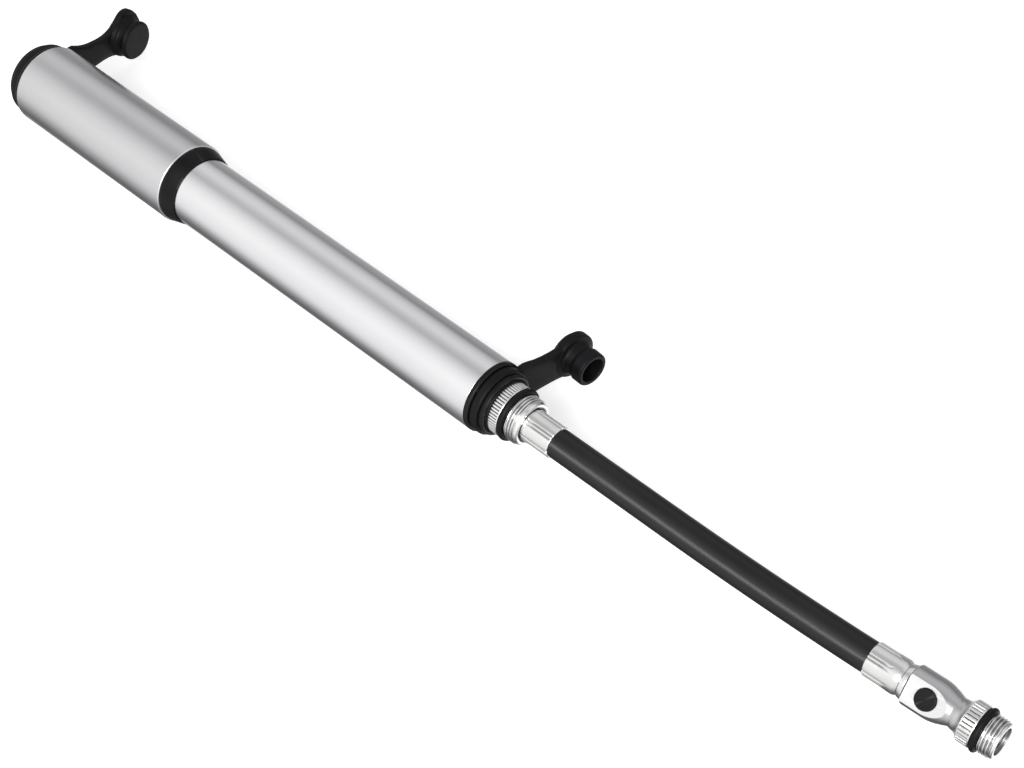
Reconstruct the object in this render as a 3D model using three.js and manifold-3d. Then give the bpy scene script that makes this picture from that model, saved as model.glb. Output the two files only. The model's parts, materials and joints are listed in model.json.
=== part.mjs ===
// Mini pump: telescoping hand pump with a hollow plunger, a screw-on flexible hose,
// a bleed chuck and two rubber flip caps.
// Millimetres, +Z up. The pump axis is X: the handle is at -X and the hose at +X. Pieces are laid
// out in stations along that axis, from the plane where the barrel tube meets the port cap.

import * as THREE from 'three';
import { mergeVertices } from 'three/addons/utils/BufferGeometryUtils.js';
import Module from 'manifold-3d';

const wasm = await Module();
wasm.setup();

// ---------------------------------------------------------------- driving dimensions

const BIG_ROUND = 32; // sides of a tube or cap
const SMALL_ROUND = 20; // sides of a hose or chuck part
const DEG = Math.PI / 180;
const RUNNING_GAP = 0.15; // radial clearance of sliding and turning fits
const FIT_GAP = 0.05; // clearance of parts that are screwed or pressed together

// Barrel, with the axial places of its two ends
const BARREL_RADIUS = 9.5;
const BARREL_BORE = 8.3;
const BARREL_LEFT = -165;
const GLAND_RIGHT = -158; // inner end of the gland, where the stroke stops

// Handle tube
const HANDLE_RADIUS = 11.25;
const HANDLE_BORE = 10.15;
const HANDLE_LEFT = -172;
const HANDLE_RIGHT = -111.2;
const COLLAR_RIGHT = -106.6;
const ANCHOR_RIGHT = -168;
const COLLAR_LEFT = -119;
const COLLAR_RIM_RADIUS = 10.9;
const COLLAR_NOSE_RADIUS = 9.85;

// Hollow plunger shaft; the stored hose slides inside it
const SHAFT_RADIUS = 6.6;
const SHAFT_BORE = 5.7;
const PISTON_LEFT = -24;
const PISTON_FACE = -13;
const PISTON_RADIUS = 8.15;

// End caps: a flange, a groove for the rubber loop, and a lip
const CAP_FLANGE = 1.3;
const CAP_GROOVE_END = 3.9;
const CAP_LENGTH = 5.2;
const PORT_GROOVE_RADIUS = 7.9;
const PORT_LIP_RADIUS = 8.2;
const PORT_RECESS_RADIUS = 7.35;
const PORT_RECESS_DEPTH = 0.6;
const END_FLANGE_RADIUS = 10.9;
const END_GROOVE_RADIUS = 9.35;
const END_LIP_RADIUS = 9.6;
const PORT_CAP_DEPTH = 12;
const LOOP_THICKNESS = 1.05;

// Threads of the hose fitting: crest radius and pitch of the shown ring ridges
const THREAD_RADIUS = 6.2;
const THREAD_PITCH = 0.8;
const THREAD_DEPTH = 0.45;
const PORT_BORE = THREAD_RADIUS + RUNNING_GAP;

// Outlet check valve inside the port cap
const VALVE_CHAMBER_RADIUS = 3.3;
const VALVE_CHAMBER_RIGHT = -3.6;
const VALVE_SEAT_X = -9;
const VALVE_PASSAGE = 1;
const VALVE_RETAINER_X = -4.8;
const VALVE_TRAVEL = 1.2;

// Flip-cap straps
const STRAP_THICKNESS = 2.5;
const STRAP_ROOT_GAP = 0.3;

// Hose fitting stations
const FITTING_LEFT = -3;
const FITTING_KNURL_LEFT = 5.7;
const FITTING_KNURL_RIGHT = 8.2;
const FITTING_KNURL_RADIUS = 6.9;
const FITTING_ORING_X = 9.1;
const FITTING_THREAD_LEFT = 10;
const FITTING_RIGHT = 14;
const KNURL_TEETH = 36;
const KNURL_DEPTH = 0.3;
const PORT_SEAL_X = 5.15;

// Hose and its crimped ferrules
const HOSE_RADIUS = 3.85;
const HOSE_BORE = 2;
const HOSE_CRIMPED_RADIUS = 3.45;
const CRIMP_STEP = 0.05; // axial length of the step down to the crimped radius
const FERRULE_RADIUS = 4.35;
const FERRULE_A_LEFT = 11.6;
const FERRULE_A_RIGHT = 22.4;
const HOSE_HINGES = [38, 68.5, 99]; // axial places of the three bending points
const BALL_STEPS = 4;
const CUP_GAP = 0.3; // gap between the ball and the cup of two hose lengths
const HOSE_SET = [0, 1.2, 1.8]; // degrees that the relaxed hose turns at each point
const FERRULE_B_LEFT = 114;
const FERRULE_B_RIGHT = 122.7;
const BARB_RADIUS = 1.5;
const BARB_BORE = 0.9;
const BARB_HOLE = BARB_RADIUS + 0.1; // hole around the barb's shank
const SWIVEL_HOLE = BARB_RADIUS + RUNNING_GAP;
const BARB_A_SHANK_END = 6;
const BARB_B_SHANK_END = 127;

// Bleed chuck
const CHUCK_LEFT = 124.2;
const CHUCK_RADIUS = 4.95;
const CHUCK_NECK_RADIUS = 3.8;
const CHUCK_KNURL_LEFT = 138.2;
const CHUCK_KNURL_RIGHT = 141.6;
const CHUCK_KNURL_RADIUS = 5.1;
const CHUCK_KNURL_TEETH = 28;
const CHUCK_KNURL_CORE = 4.6;
const CHUCK_ORING_FLOOR = 3.9;
const CHUCK_THREAD_LEFT = 143.2;
const CHUCK_THREAD_RADIUS = 4.7;
const CHUCK_RIGHT = 147;
const CHUCK_MOUTH = 3.3;
const CHUCK_PASSAGE = 1;
const MOUTH_FLOOR_X = 139.5;
const SWIVEL_POCKET_X = 127.4;
const PAD_ANGLE = 145 * DEG; // direction of the flat pad, turned from +Y towards +Z
const PAD_HEIGHT = 3.6; // pad plane, from the chuck axis
const PAD_END = 134.4;
const PAD_HALF_WIDTH = 3.6;
const BUTTON_X = 129.4;
const BUTTON_RADIUS = 2.45;
const BUTTON_PROUD = 0.9;
const BUTTON_FLOOR = 1.5;
const BUTTON_BOTTOM = 2.9;
const BUTTON_TRAVEL = 0.7;
const BUTTON_PIN_RADIUS = 0.5;

// ---------------------------------------------------------------- materials

function finish(colour, roughness, metalness) {
  return new THREE.MeshStandardMaterial({ color: colour, roughness, metalness });
}

const satinAluminium = () => finish(0xd2d3d6, 0.35, 0.9);
const brightAluminium = () => finish(0xe2e2e0, 0.22, 1);
const blackComposite = () => finish(0x17171a, 0.45, 0);
const blackRubber = () => finish(0x1b1b1f, 0.6, 0);
const hoseRubber = () => finish(0x201e1f, 0.5, 0);
const springSteel = () => finish(0x9a9b9e, 0.3, 1);
const brass = () => finish(0xb9975b, 0.3, 1);

// ---------------------------------------------------------------- shape helpers

// A body turned about X from an outline of [x, radius] points. The outline either
// closes on itself or starts and ends on the axis.
function turned(outline, sides = BIG_ROUND) {
  const points = outline.map(([x, radius]) => new THREE.Vector2(radius, x));
  if (THREE.ShapeUtils.area(points) < 0) points.reverse();
  if (outline[0][1] > 0) points.push(points[0].clone());
  return new THREE.LatheGeometry(points, sides).rotateZ(-Math.PI / 2);
}

// A straight sleeve between two axial places.
function sleeve(left, right, outer, inner, sides = BIG_ROUND) {
  return turned([[left, outer], [right, outer], [right, inner], [left, inner]], sides);
}

// A rubber ring seal around X.
function ringSeal(x, ringRadius, cordRadius, sides = BIG_ROUND) {
  const geometry = new THREE.TorusGeometry(ringRadius, cordRadius, 5, sides);
  return geometry.rotateY(Math.PI / 2).translate(x, 0, 0);
}

// Extrudes a shape drawn in (Y, Z) along +X from a given place.
function extrudedAlongX(shape, left, length) {
  const geometry = new THREE.ExtrudeGeometry(shape, {
    depth: length, bevelEnabled: false, curveSegments: 12,
  });
  const toX = new THREE.Matrix4().makeBasis(
    new THREE.Vector3(0, 1, 0), new THREE.Vector3(0, 0, 1), new THREE.Vector3(1, 0, 0),
  );
  return geometry.applyMatrix4(toX).translate(left, 0, 0);
}

// Ring ridges of a thread as outline points, from left to right.
function threadRidges(left, right, crest, pitch, depth) {
  const turns = Math.floor((right - left) / pitch + 1e-6);
  const points = [];
  for (let turn = 0; turn < turns; turn += 1) {
    const start = left + turn * pitch;
    points.push([start, crest - depth]);
    points.push([start + 0.5 * pitch, crest]);
  }
  points.push([left + turns * pitch, crest - depth]);
  return points;
}

// A straight-fluted band around X.
function knurledBand(left, right, radius, depth, teeth) {
  const shape = new THREE.Shape();
  for (let tooth = 0; tooth < teeth; tooth += 1) {
    const marks = [[0, radius], [0.5, radius - depth]];
    marks.forEach(([share, r], index) => {
      const angle = ((tooth + share) / teeth) * 2 * Math.PI;
      const place = [r * Math.cos(angle), r * Math.sin(angle)];
      if (tooth === 0 && index === 0) shape.moveTo(...place);
      else shape.lineTo(...place);
    });
  }
  shape.closePath();
  return extrudedAlongX(shape, left, right - left);
}

class Helix extends THREE.Curve {
  constructor(start, length, radius, turns) {
    super();
    Object.assign(this, { start, length, radius, turns });
  }

  getPoint(share, target = new THREE.Vector3()) {
    const angle = share * this.turns * 2 * Math.PI;
    const x = this.start + share * this.length;
    return target.set(x, this.radius * Math.cos(angle), this.radius * Math.sin(angle));
  }
}

// A coil spring around X, between two places, with a round wire.
function coilSpring(left, right, coilRadius, wireRadius, turns) {
  const wire = new THREE.Shape();
  wire.absarc(0, 0, wireRadius, 0, 2 * Math.PI);
  const length = right - left - 2 * wireRadius;
  const path = new Helix(left + wireRadius, length, coilRadius, turns);
  return new THREE.ExtrudeGeometry(wire, {
    steps: turns * 10, extrudePath: path, bevelEnabled: false, curveSegments: 2,
  });
}

// ---------------------------------------------------------------- joins and cuts

function solidOf(geometry) {
  const bare = geometry.clone();
  bare.deleteAttribute('normal');
  bare.deleteAttribute('uv');
  const merged = mergeVertices(bare, 1e-4);
  return new wasm.Manifold(new wasm.Mesh({
    numProp: 3,
    vertProperties: Float32Array.from(merged.attributes.position.array),
    triVerts: Uint32Array.from(merged.index.array),
  }));
}

function geometryOf(solid) {
  const mesh = solid.getMesh();
  const geometry = new THREE.BufferGeometry();
  geometry.setAttribute('position', new THREE.BufferAttribute(mesh.vertProperties, 3));
  geometry.setIndex(new THREE.BufferAttribute(mesh.triVerts, 1));
  geometry.computeVertexNormals();
  return geometry;
}

function join(...geometries) {
  return geometryOf(geometries.map(solidOf).reduce((whole, piece) => whole.add(piece)));
}

function cut(body, ...tools) {
  return geometryOf(tools.map(solidOf).reduce((rest, tool) => rest.subtract(tool), solidOf(body)));
}

function piece(parent, name, geometry, material) {
  const mesh = new THREE.Mesh(geometry, material);
  mesh.name = name;
  parent.add(mesh);
  return mesh;
}

// ---------------------------------------------------------------- barrel and port

function addBarrel(parent) {
  piece(parent, 'barrel_tube', sleeve(BARREL_LEFT, 0, BARREL_RADIUS, BARREL_BORE), satinAluminium());

  const glandFlange = BARREL_LEFT - 2.5;
  const sealLeft = BARREL_LEFT + 2;
  const sealRight = BARREL_LEFT + 4.4;
  const shaftHole = SHAFT_RADIUS + RUNNING_GAP;
  const sealFloor = shaftHole + 0.95;
  piece(parent, 'barrel_gland', turned([
    [glandFlange, BARREL_RADIUS], [BARREL_LEFT, BARREL_RADIUS],
    [BARREL_LEFT, BARREL_BORE - FIT_GAP], [GLAND_RIGHT, BARREL_BORE - FIT_GAP],
    [GLAND_RIGHT, shaftHole], [sealRight, shaftHole], [sealRight, sealFloor],
    [sealLeft, sealFloor], [sealLeft, shaftHole], [glandFlange, shaftHole],
  ]), blackComposite());
  const cord = 0.46;
  piece(parent, 'gland_seal',
    ringSeal((sealLeft + sealRight) / 2, SHAFT_RADIUS + 0.08 + cord, cord), blackRubber());
}

function addPortCap(parent) {
  const plugRadius = BARREL_BORE - FIT_GAP;
  const grooveLeft = -7.7;
  const grooveRight = -6.3;
  const grooveFloor = plugRadius - 0.95;
  const edge = 0.3;
  const recessFloor = CAP_LENGTH - PORT_RECESS_DEPTH;
  piece(parent, 'port_cap', turned([
    [-PORT_CAP_DEPTH, plugRadius], [grooveLeft, plugRadius], [grooveLeft, grooveFloor],
    [grooveRight, grooveFloor], [grooveRight, plugRadius], [0, plugRadius],
    [0, BARREL_RADIUS], [CAP_FLANGE - edge, BARREL_RADIUS],
    [CAP_FLANGE, BARREL_RADIUS - edge], [CAP_FLANGE, PORT_GROOVE_RADIUS],
    [CAP_GROOVE_END, PORT_GROOVE_RADIUS], [CAP_GROOVE_END, PORT_LIP_RADIUS],
    [CAP_LENGTH, PORT_LIP_RADIUS - edge], [CAP_LENGTH, PORT_RECESS_RADIUS],
    [recessFloor, PORT_RECESS_RADIUS], [recessFloor, PORT_BORE],
    [VALVE_CHAMBER_RIGHT, PORT_BORE], [VALVE_CHAMBER_RIGHT, VALVE_CHAMBER_RADIUS],
    [VALVE_SEAT_X, VALVE_CHAMBER_RADIUS], [VALVE_SEAT_X, VALVE_PASSAGE],
    [-PORT_CAP_DEPTH, VALVE_PASSAGE],
  ]), blackComposite());
  const cord = 0.45;
  piece(parent, 'port_cap_oring',
    ringSeal((grooveLeft + grooveRight) / 2, grooveFloor + FIT_GAP + cord, cord), blackRubber());
}

function addCheckValve(parent) {
  const poppetRadius = 2.4;
  const poppetEdge = 0.5;
  const stemRadius = 0.75;
  const poppetRight = VALVE_SEAT_X + 1.1;
  piece(parent, 'check_poppet', turned([
    [VALVE_SEAT_X + FIT_GAP, 0], [VALVE_SEAT_X + FIT_GAP, poppetRadius - poppetEdge],
    [VALVE_SEAT_X + poppetEdge, poppetRadius], [poppetRight, poppetRadius],
    [poppetRight, stemRadius], [poppetRight + 1, stemRadius], [poppetRight + 1, 0],
  ], SMALL_ROUND), blackRubber());

  const springRight = VALVE_RETAINER_X - VALVE_TRAVEL - FIT_GAP;
  piece(parent, 'check_spring',
    coilSpring(poppetRight + FIT_GAP, springRight, 1.5, 0.2, 3), springSteel());

  const retainerRight = VALVE_RETAINER_X + 1.1;
  const retainerRadius = VALVE_CHAMBER_RADIUS - FIT_GAP;
  piece(parent, 'check_retainer',
    sleeve(VALVE_RETAINER_X, retainerRight, retainerRadius, VALVE_PASSAGE, SMALL_ROUND), brass());
}

// ---------------------------------------------------------------- handle and plunger

function addHandle(parent) {
  const rim = 0.25;
  piece(parent, 'handle_tube', turned([
    [HANDLE_LEFT, HANDLE_BORE], [HANDLE_LEFT, HANDLE_RADIUS],
    [HANDLE_RIGHT - rim, HANDLE_RADIUS], [HANDLE_RIGHT, HANDLE_RADIUS - rim],
    [HANDLE_RIGHT, HANDLE_BORE],
  ]), satinAluminium());

  const collarBore = BARREL_RADIUS + RUNNING_GAP;
  const shoulder = 0.5;
  piece(parent, 'handle_collar', turned([
    [COLLAR_LEFT, HANDLE_BORE - FIT_GAP], [HANDLE_RIGHT, HANDLE_BORE - FIT_GAP],
    [HANDLE_RIGHT, COLLAR_RIM_RADIUS], [HANDLE_RIGHT + shoulder, COLLAR_RIM_RADIUS],
    [COLLAR_RIGHT, COLLAR_NOSE_RADIUS], [COLLAR_RIGHT, collarBore], [COLLAR_LEFT, collarBore],
  ]), blackComposite());

  // The anchor sleeve joins the shaft's end to the handle tube and is held by a set screw.
  const socketRadius = SHAFT_RADIUS + FIT_GAP;
  const anchorRadius = HANDLE_BORE - FIT_GAP;
  const anchorLeft = HANDLE_LEFT + FIT_GAP;
  const anchor = turned([
    [anchorLeft, anchorRadius], [ANCHOR_RIGHT, anchorRadius],
    [ANCHOR_RIGHT, socketRadius], [anchorLeft, socketRadius],
  ]);
  const screwRadius = 1;
  const screwLength = 3;
  const screwX = (HANDLE_LEFT + ANCHOR_RIGHT) / 2;
  const holeRadius = screwRadius + 0.1;
  const screwHole = new THREE.CylinderGeometry(holeRadius, holeRadius, HANDLE_BORE, 16)
    .rotateX(Math.PI / 2).translate(screwX, 0, HANDLE_BORE);
  piece(parent, 'shaft_anchor', cut(anchor, screwHole), satinAluminium());
  const screwHeight = SHAFT_RADIUS + RUNNING_GAP + screwLength / 2;
  const screw = new THREE.CylinderGeometry(screwRadius, screwRadius, screwLength, 16)
    .rotateX(Math.PI / 2).translate(screwX, 0, screwHeight);
  piece(parent, 'anchor_set_screw', screw, springSteel());

  const flange = HANDLE_LEFT - CAP_FLANGE;
  const grooveEnd = HANDLE_LEFT - CAP_GROOVE_END;
  const lipEnd = HANDLE_LEFT - CAP_LENGTH;
  const edge = 0.35;
  piece(parent, 'handle_end_cap', turned([
    [HANDLE_LEFT, END_FLANGE_RADIUS], [flange + edge, END_FLANGE_RADIUS],
    [flange, END_FLANGE_RADIUS - edge], [flange, END_GROOVE_RADIUS],
    [grooveEnd, END_GROOVE_RADIUS], [grooveEnd, END_LIP_RADIUS],
    [lipEnd + edge, END_LIP_RADIUS], [lipEnd, END_LIP_RADIUS - edge],
    [lipEnd, PORT_BORE], [HANDLE_LEFT, PORT_BORE],
  ]), blackComposite());
}

function addPlunger(parent) {
  const shaftLeft = HANDLE_LEFT + 0.1;
  const shaftRight = PISTON_LEFT - FIT_GAP;
  piece(parent, 'plunger_shaft',
    sleeve(shaftLeft, shaftRight, SHAFT_RADIUS, SHAFT_BORE), brightAluminium());

  const spigotLeft = PISTON_LEFT - 7;
  const spigotRadius = SHAFT_BORE - FIT_GAP;
  const guideLeft = PISTON_LEFT + 1.2;
  const guideRight = PISTON_LEFT + 4;
  const guideFloor = PISTON_RADIUS - 0.75;
  const sealLeft = PISTON_FACE - 4.2;
  const sealRight = PISTON_FACE - 2.4;
  const sealFloor = PISTON_RADIUS - 1.3;
  const edge = 0.5;
  piece(parent, 'piston_head', turned([
    [spigotLeft, 0], [spigotLeft, spigotRadius], [PISTON_LEFT, spigotRadius],
    [PISTON_LEFT, PISTON_RADIUS], [guideLeft, PISTON_RADIUS], [guideLeft, guideFloor],
    [guideRight, guideFloor], [guideRight, PISTON_RADIUS], [sealLeft, PISTON_RADIUS],
    [sealLeft, sealFloor], [sealRight, sealFloor], [sealRight, PISTON_RADIUS],
    [PISTON_FACE - edge, PISTON_RADIUS], [PISTON_FACE, PISTON_RADIUS - edge], [PISTON_FACE, 0],
  ]), brightAluminium());

  const ringRadius = BARREL_BORE - 0.07;
  piece(parent, 'piston_guide_ring',
    sleeve(guideLeft + 0.1, guideRight - 0.1, ringRadius, guideFloor + FIT_GAP), blackComposite());
  const cord = 0.65;
  piece(parent, 'piston_seal',
    ringSeal((sealLeft + sealRight) / 2, sealFloor + FIT_GAP + cord, cord), blackRubber());
  const bumperLeft = PISTON_LEFT - 3.4;
  const bumperRadius = BARREL_BORE - 0.4;
  piece(parent, 'stroke_bumper',
    sleeve(bumperLeft, PISTON_LEFT - 0.1, bumperRadius, SHAFT_RADIUS + FIT_GAP), blackRubber());
}

// ---------------------------------------------------------------- flip caps

// The rubber loop that turns in an end cap's groove.
function loopRing(left, right, grooveRadius) {
  const inner = grooveRadius + RUNNING_GAP;
  const outer = inner + LOOP_THICKNESS - RUNNING_GAP;
  const middle = (left + right) / 2;
  const half = (right - left) / 2 - 0.1;
  const corner = 0.35;
  return turned([
    [middle - half, inner], [middle - half, outer - corner], [middle - half + corner, outer],
    [middle + half - corner, outer], [middle + half, outer - corner], [middle + half, inner],
  ]);
}

// Strap, head, plug and press disc as one rubber moulding. The hinge line is the local Z
// axis, the strap runs along local +Y and the plug points along local +X, turned by its tilt.
function flipCap(plug) {
  const half = STRAP_THICKNESS / 2;
  const rootHalf = plug.rootWidth / 2;
  const waistHalf = plug.waistWidth / 2;
  const waist = plug.strapLength * 0.5;
  const flareEnd = waist * 0.5;
  const shoulder = plug.strapLength - plug.headRadius * 0.45;
  const shoulderHalf = plug.headRadius * 0.85;
  const strap = new THREE.Shape();
  strap.moveTo(0, -rootHalf);
  strap.quadraticCurveTo(flareEnd, -waistHalf, waist, -waistHalf);
  strap.lineTo(shoulder, -shoulderHalf);
  strap.lineTo(shoulder, shoulderHalf);
  strap.lineTo(waist, waistHalf);
  strap.quadraticCurveTo(flareEnd, waistHalf, 0, rootHalf);
  strap.closePath();
  const root = new THREE.CylinderGeometry(half, half, plug.rootWidth, 16).rotateX(Math.PI / 2);

  const discRadius = plug.headRadius - 0.9;
  const discHeight = 0.7;
  const edge = 0.4;
  const beadLeft = plug.height - plug.beadLength;
  const head = turned([
    [-half - discHeight, 0], [-half - discHeight, discRadius], [-half, discRadius + 0.2],
    [-half, plug.headRadius - edge], [-half + edge, plug.headRadius],
    [half - edge, plug.headRadius], [half, plug.headRadius - edge], [half, plug.neckRadius],
    [beadLeft, plug.neckRadius], [beadLeft + 0.4 * plug.beadLength, plug.beadRadius],
    [plug.height - edge, plug.beadRadius], [plug.height, plug.beadRadius - edge], ...plug.hollow,
  ], SMALL_ROUND).rotateZ(plug.tiltDegrees * DEG).translate(0, plug.strapLength, 0);
  return join(extrudedAlongX(strap, -half, STRAP_THICKNESS), root, head);
}

// The port's plug is hollow, the handle's plug is solid. Leans are degrees from upright in the
// relaxed position, and a tilt turns the head on its strap.
const PORT_PLUG = {
  strapLength: 13.4, leanDegrees: -8.5, tiltDegrees: 3.5, headRadius: 6.1,
  rootWidth: 11, waistWidth: 9.4, neckRadius: 4.2, beadRadius: 4.7, beadLength: 3, height: 7.2,
  hollow: [[7.2, 3.4], [3.2, 3.1], [3.2, 0]],
};
const HANDLE_PLUG = {
  strapLength: 17.2, leanDegrees: 5.5, tiltDegrees: 6, headRadius: 7.5,
  rootWidth: 11, waistWidth: 7, neckRadius: 5.2, beadRadius: 6.15, beadLength: 2.2, height: 4.6,
  hollow: [[4.6, 0]],
};

function addFlipCap(parent, name, x, loopRadius, plug) {
  const hinge = new THREE.Group();
  hinge.position.set(x, loopRadius + STRAP_ROOT_GAP + STRAP_THICKNESS / 2, 0);
  hinge.rotation.z = plug.leanDegrees * DEG;
  parent.add(hinge);
  piece(hinge, name, flipCap(plug), blackRubber());
}

function addFlipCaps(portParent, handleParent) {
  piece(portParent, 'port_cap_loop',
    loopRing(CAP_FLANGE, CAP_GROOVE_END, PORT_GROOVE_RADIUS), blackRubber());
  addFlipCap(portParent, 'port_cap_strap', (CAP_FLANGE + CAP_GROOVE_END) / 2,
    PORT_GROOVE_RADIUS + LOOP_THICKNESS, PORT_PLUG);
  const flange = HANDLE_LEFT - CAP_FLANGE;
  const grooveEnd = HANDLE_LEFT - CAP_GROOVE_END;
  piece(handleParent, 'handle_cap_loop', loopRing(grooveEnd, flange, END_GROOVE_RADIUS), blackRubber());
  addFlipCap(handleParent, 'handle_cap_strap', (flange + grooveEnd) / 2,
    END_GROOVE_RADIUS + LOOP_THICKNESS, HANDLE_PLUG);
}

// ---------------------------------------------------------------- hose

function addHoseFitting(parent) {
  const sealCord = 0.48;
  const sealRingRadius = THREAD_RADIUS + 0.1 + sealCord;
  piece(parent, 'port_seal_oring',
    ringSeal(PORT_SEAL_X, sealRingRadius, sealCord), blackRubber());

  const oringFloor = 5.25;
  const socket = FERRULE_RADIUS + RUNNING_GAP;
  const socketLeft = FERRULE_A_LEFT - 0.4;
  const nose = 0.7;
  const body = turned([
    [FITTING_LEFT, BARB_HOLE], [FITTING_LEFT, THREAD_RADIUS - THREAD_DEPTH],
    [FITTING_LEFT + 0.5, THREAD_RADIUS], [FITTING_KNURL_RIGHT, THREAD_RADIUS],
    [FITTING_KNURL_RIGHT, oringFloor], [FITTING_THREAD_LEFT, oringFloor],
    ...threadRidges(FITTING_THREAD_LEFT, FITTING_RIGHT - nose, THREAD_RADIUS, THREAD_PITCH,
      THREAD_DEPTH),
    [FITTING_RIGHT, THREAD_RADIUS - nose], [FITTING_RIGHT, socket], [socketLeft, socket],
    [socketLeft, BARB_HOLE],
  ]);
  const teeth = knurledBand(FITTING_KNURL_LEFT, FITTING_KNURL_RIGHT, FITTING_KNURL_RADIUS,
    KNURL_DEPTH, KNURL_TEETH);
  const core = innerCore(FITTING_KNURL_LEFT, FITTING_KNURL_RIGHT, THREAD_RADIUS - 1, BIG_ROUND);
  piece(parent, 'hose_fitting', join(body, cut(teeth, core)), brightAluminium());
  const cord = 0.9;
  piece(parent, 'fitting_oring',
    ringSeal(FITTING_ORING_X, oringFloor + FIT_GAP + cord, cord), blackRubber());
}

// A crimped ferrule whose closed end faces the metal part it is pressed to.
function ferrule(closedEnd, openEnd) {
  const inward = Math.sign(openEnd - closedEnd);
  const floor = closedEnd + 0.9 * inward;
  const hoseHole = HOSE_CRIMPED_RADIUS + FIT_GAP;
  return turned([
    [closedEnd, BARB_HOLE], [closedEnd, FERRULE_RADIUS - 0.7],
    [closedEnd + 0.25 * inward, FERRULE_RADIUS - 0.3], [floor, FERRULE_RADIUS],
    [openEnd - 0.2 * inward, FERRULE_RADIUS], [openEnd, FERRULE_RADIUS - 0.15],
    [openEnd, hoseHole], [floor, hoseHole], [floor, BARB_HOLE],
  ], SMALL_ROUND);
}

// The barbed tube inside a hose end: shank in the metal part, barbs in the hose.
function hoseBarb(shankEnd, tipEnd) {
  const toTip = Math.sign(tipEnd - shankEnd);
  const barbRadius = 1.9;
  const barbPitch = 2;
  const outline = [[shankEnd, BARB_BORE], [shankEnd, BARB_RADIUS]];
  for (let barb = 3; barb >= 1; barb -= 1) {
    const ridge = tipEnd - barb * barbPitch * toTip;
    outline.push([ridge, BARB_RADIUS], [ridge, barbRadius]);
  }
  outline.push([tipEnd, BARB_RADIUS], [tipEnd, BARB_BORE]);
  return turned(outline, SMALL_ROUND);
}

// Arc points of a ball or cup around a bending point, from the bore to the outside.
function jointArc(radius) {
  const startAngle = Math.asin(HOSE_BORE / radius);
  const endAngle = Math.asin(HOSE_RADIUS / radius);
  return Array.from({ length: BALL_STEPS + 1 }, (_, step) => {
    const angle = startAngle + (step / BALL_STEPS) * (endAngle - startAngle);
    return [radius * Math.cos(angle), radius * Math.sin(angle)];
  });
}

// One length of hose along local X. Its left end is crimped in a ferrule or has a cup around
// the bending point at x = 0; its right end is crimped or has a ball around its bending point.
function hoseLength(length, crimpLeft, crimpRight) {
  const outline = [];
  if (crimpLeft > 0) {
    outline.push([0, HOSE_BORE], [0, HOSE_CRIMPED_RADIUS], [crimpLeft, HOSE_CRIMPED_RADIUS],
      [crimpLeft + CRIMP_STEP, HOSE_RADIUS]);
  } else {
    outline.push(...jointArc(HOSE_RADIUS + CUP_GAP));
  }
  if (crimpRight > 0) {
    outline.push([length - crimpRight - CRIMP_STEP, HOSE_RADIUS],
      [length - crimpRight, HOSE_CRIMPED_RADIUS], [length, HOSE_CRIMPED_RADIUS], [length, HOSE_BORE]);
  } else {
    outline.push(...jointArc(HOSE_RADIUS).map(([x, r]) => [length + x, r]).reverse());
  }
  return turned(outline, SMALL_ROUND);
}

// A group that continues the hose from a bending point.
function hoseTurn(parent, distance, degrees) {
  const turn = new THREE.Group();
  turn.position.x = distance;
  turn.rotation.z = degrees * DEG;
  parent.add(turn);
  return turn;
}

function addHose(parent) {
  const [first, second, third] = HOSE_HINGES;
  piece(parent, 'ferrule_a', ferrule(FERRULE_A_LEFT, FERRULE_A_RIGHT), brightAluminium());
  piece(parent, 'hose_barb_a', hoseBarb(BARB_A_SHANK_END, FERRULE_A_RIGHT - 1), brass());
  const start = FERRULE_A_LEFT + 1;
  const crimp = FERRULE_A_RIGHT + CRIMP_STEP - start;
  piece(parent, 'hose_length_1', hoseLength(first - start, crimp, 0), hoseRubber())
    .position.x = start;

  const bendA = hoseTurn(parent, first, HOSE_SET[0]);
  piece(bendA, 'hose_length_2', hoseLength(second - first, 0, 0), hoseRubber());
  const bendB = hoseTurn(bendA, second - first, HOSE_SET[1]);
  piece(bendB, 'hose_length_3', hoseLength(third - second, 0, 0), hoseRubber());
  const bendC = hoseTurn(bendB, third - second, HOSE_SET[2]);
  const end = FERRULE_B_RIGHT - 1 - third;
  const lastCrimp = end - (FERRULE_B_LEFT - third) + CRIMP_STEP;
  piece(bendC, 'hose_length_4', hoseLength(end, 0, lastCrimp), hoseRubber());

  // Stations of the chuck end are stated along the straight pump axis.
  const chuckEnd = new THREE.Group();
  chuckEnd.position.x = -third;
  bendC.add(chuckEnd);
  piece(chuckEnd, 'ferrule_b', ferrule(FERRULE_B_RIGHT, FERRULE_B_LEFT), brightAluminium());
  piece(chuckEnd, 'hose_barb_b', hoseBarb(BARB_B_SHANK_END, FERRULE_B_LEFT + 1), brass());
  piece(chuckEnd, 'swivel_ring',
    sleeve(FERRULE_B_RIGHT + 0.1, CHUCK_LEFT - RUNNING_GAP, FERRULE_RADIUS, SWIVEL_HOLE, SMALL_ROUND),
    brightAluminium());
  return chuckEnd;
}

// ---------------------------------------------------------------- chuck

// Turns a shape built about +X, with its axis height as x, to stand on the pad direction.
function standOnPad(geometry, x) {
  const outward = new THREE.Vector3(0, Math.cos(PAD_ANGLE), Math.sin(PAD_ANGLE));
  const along = new THREE.Vector3(1, 0, 0);
  const side = new THREE.Vector3().crossVectors(outward, along);
  const stand = new THREE.Matrix4().makeBasis(outward, along, side);
  return geometry.applyMatrix4(stand).translate(x, 0, 0);
}

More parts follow.
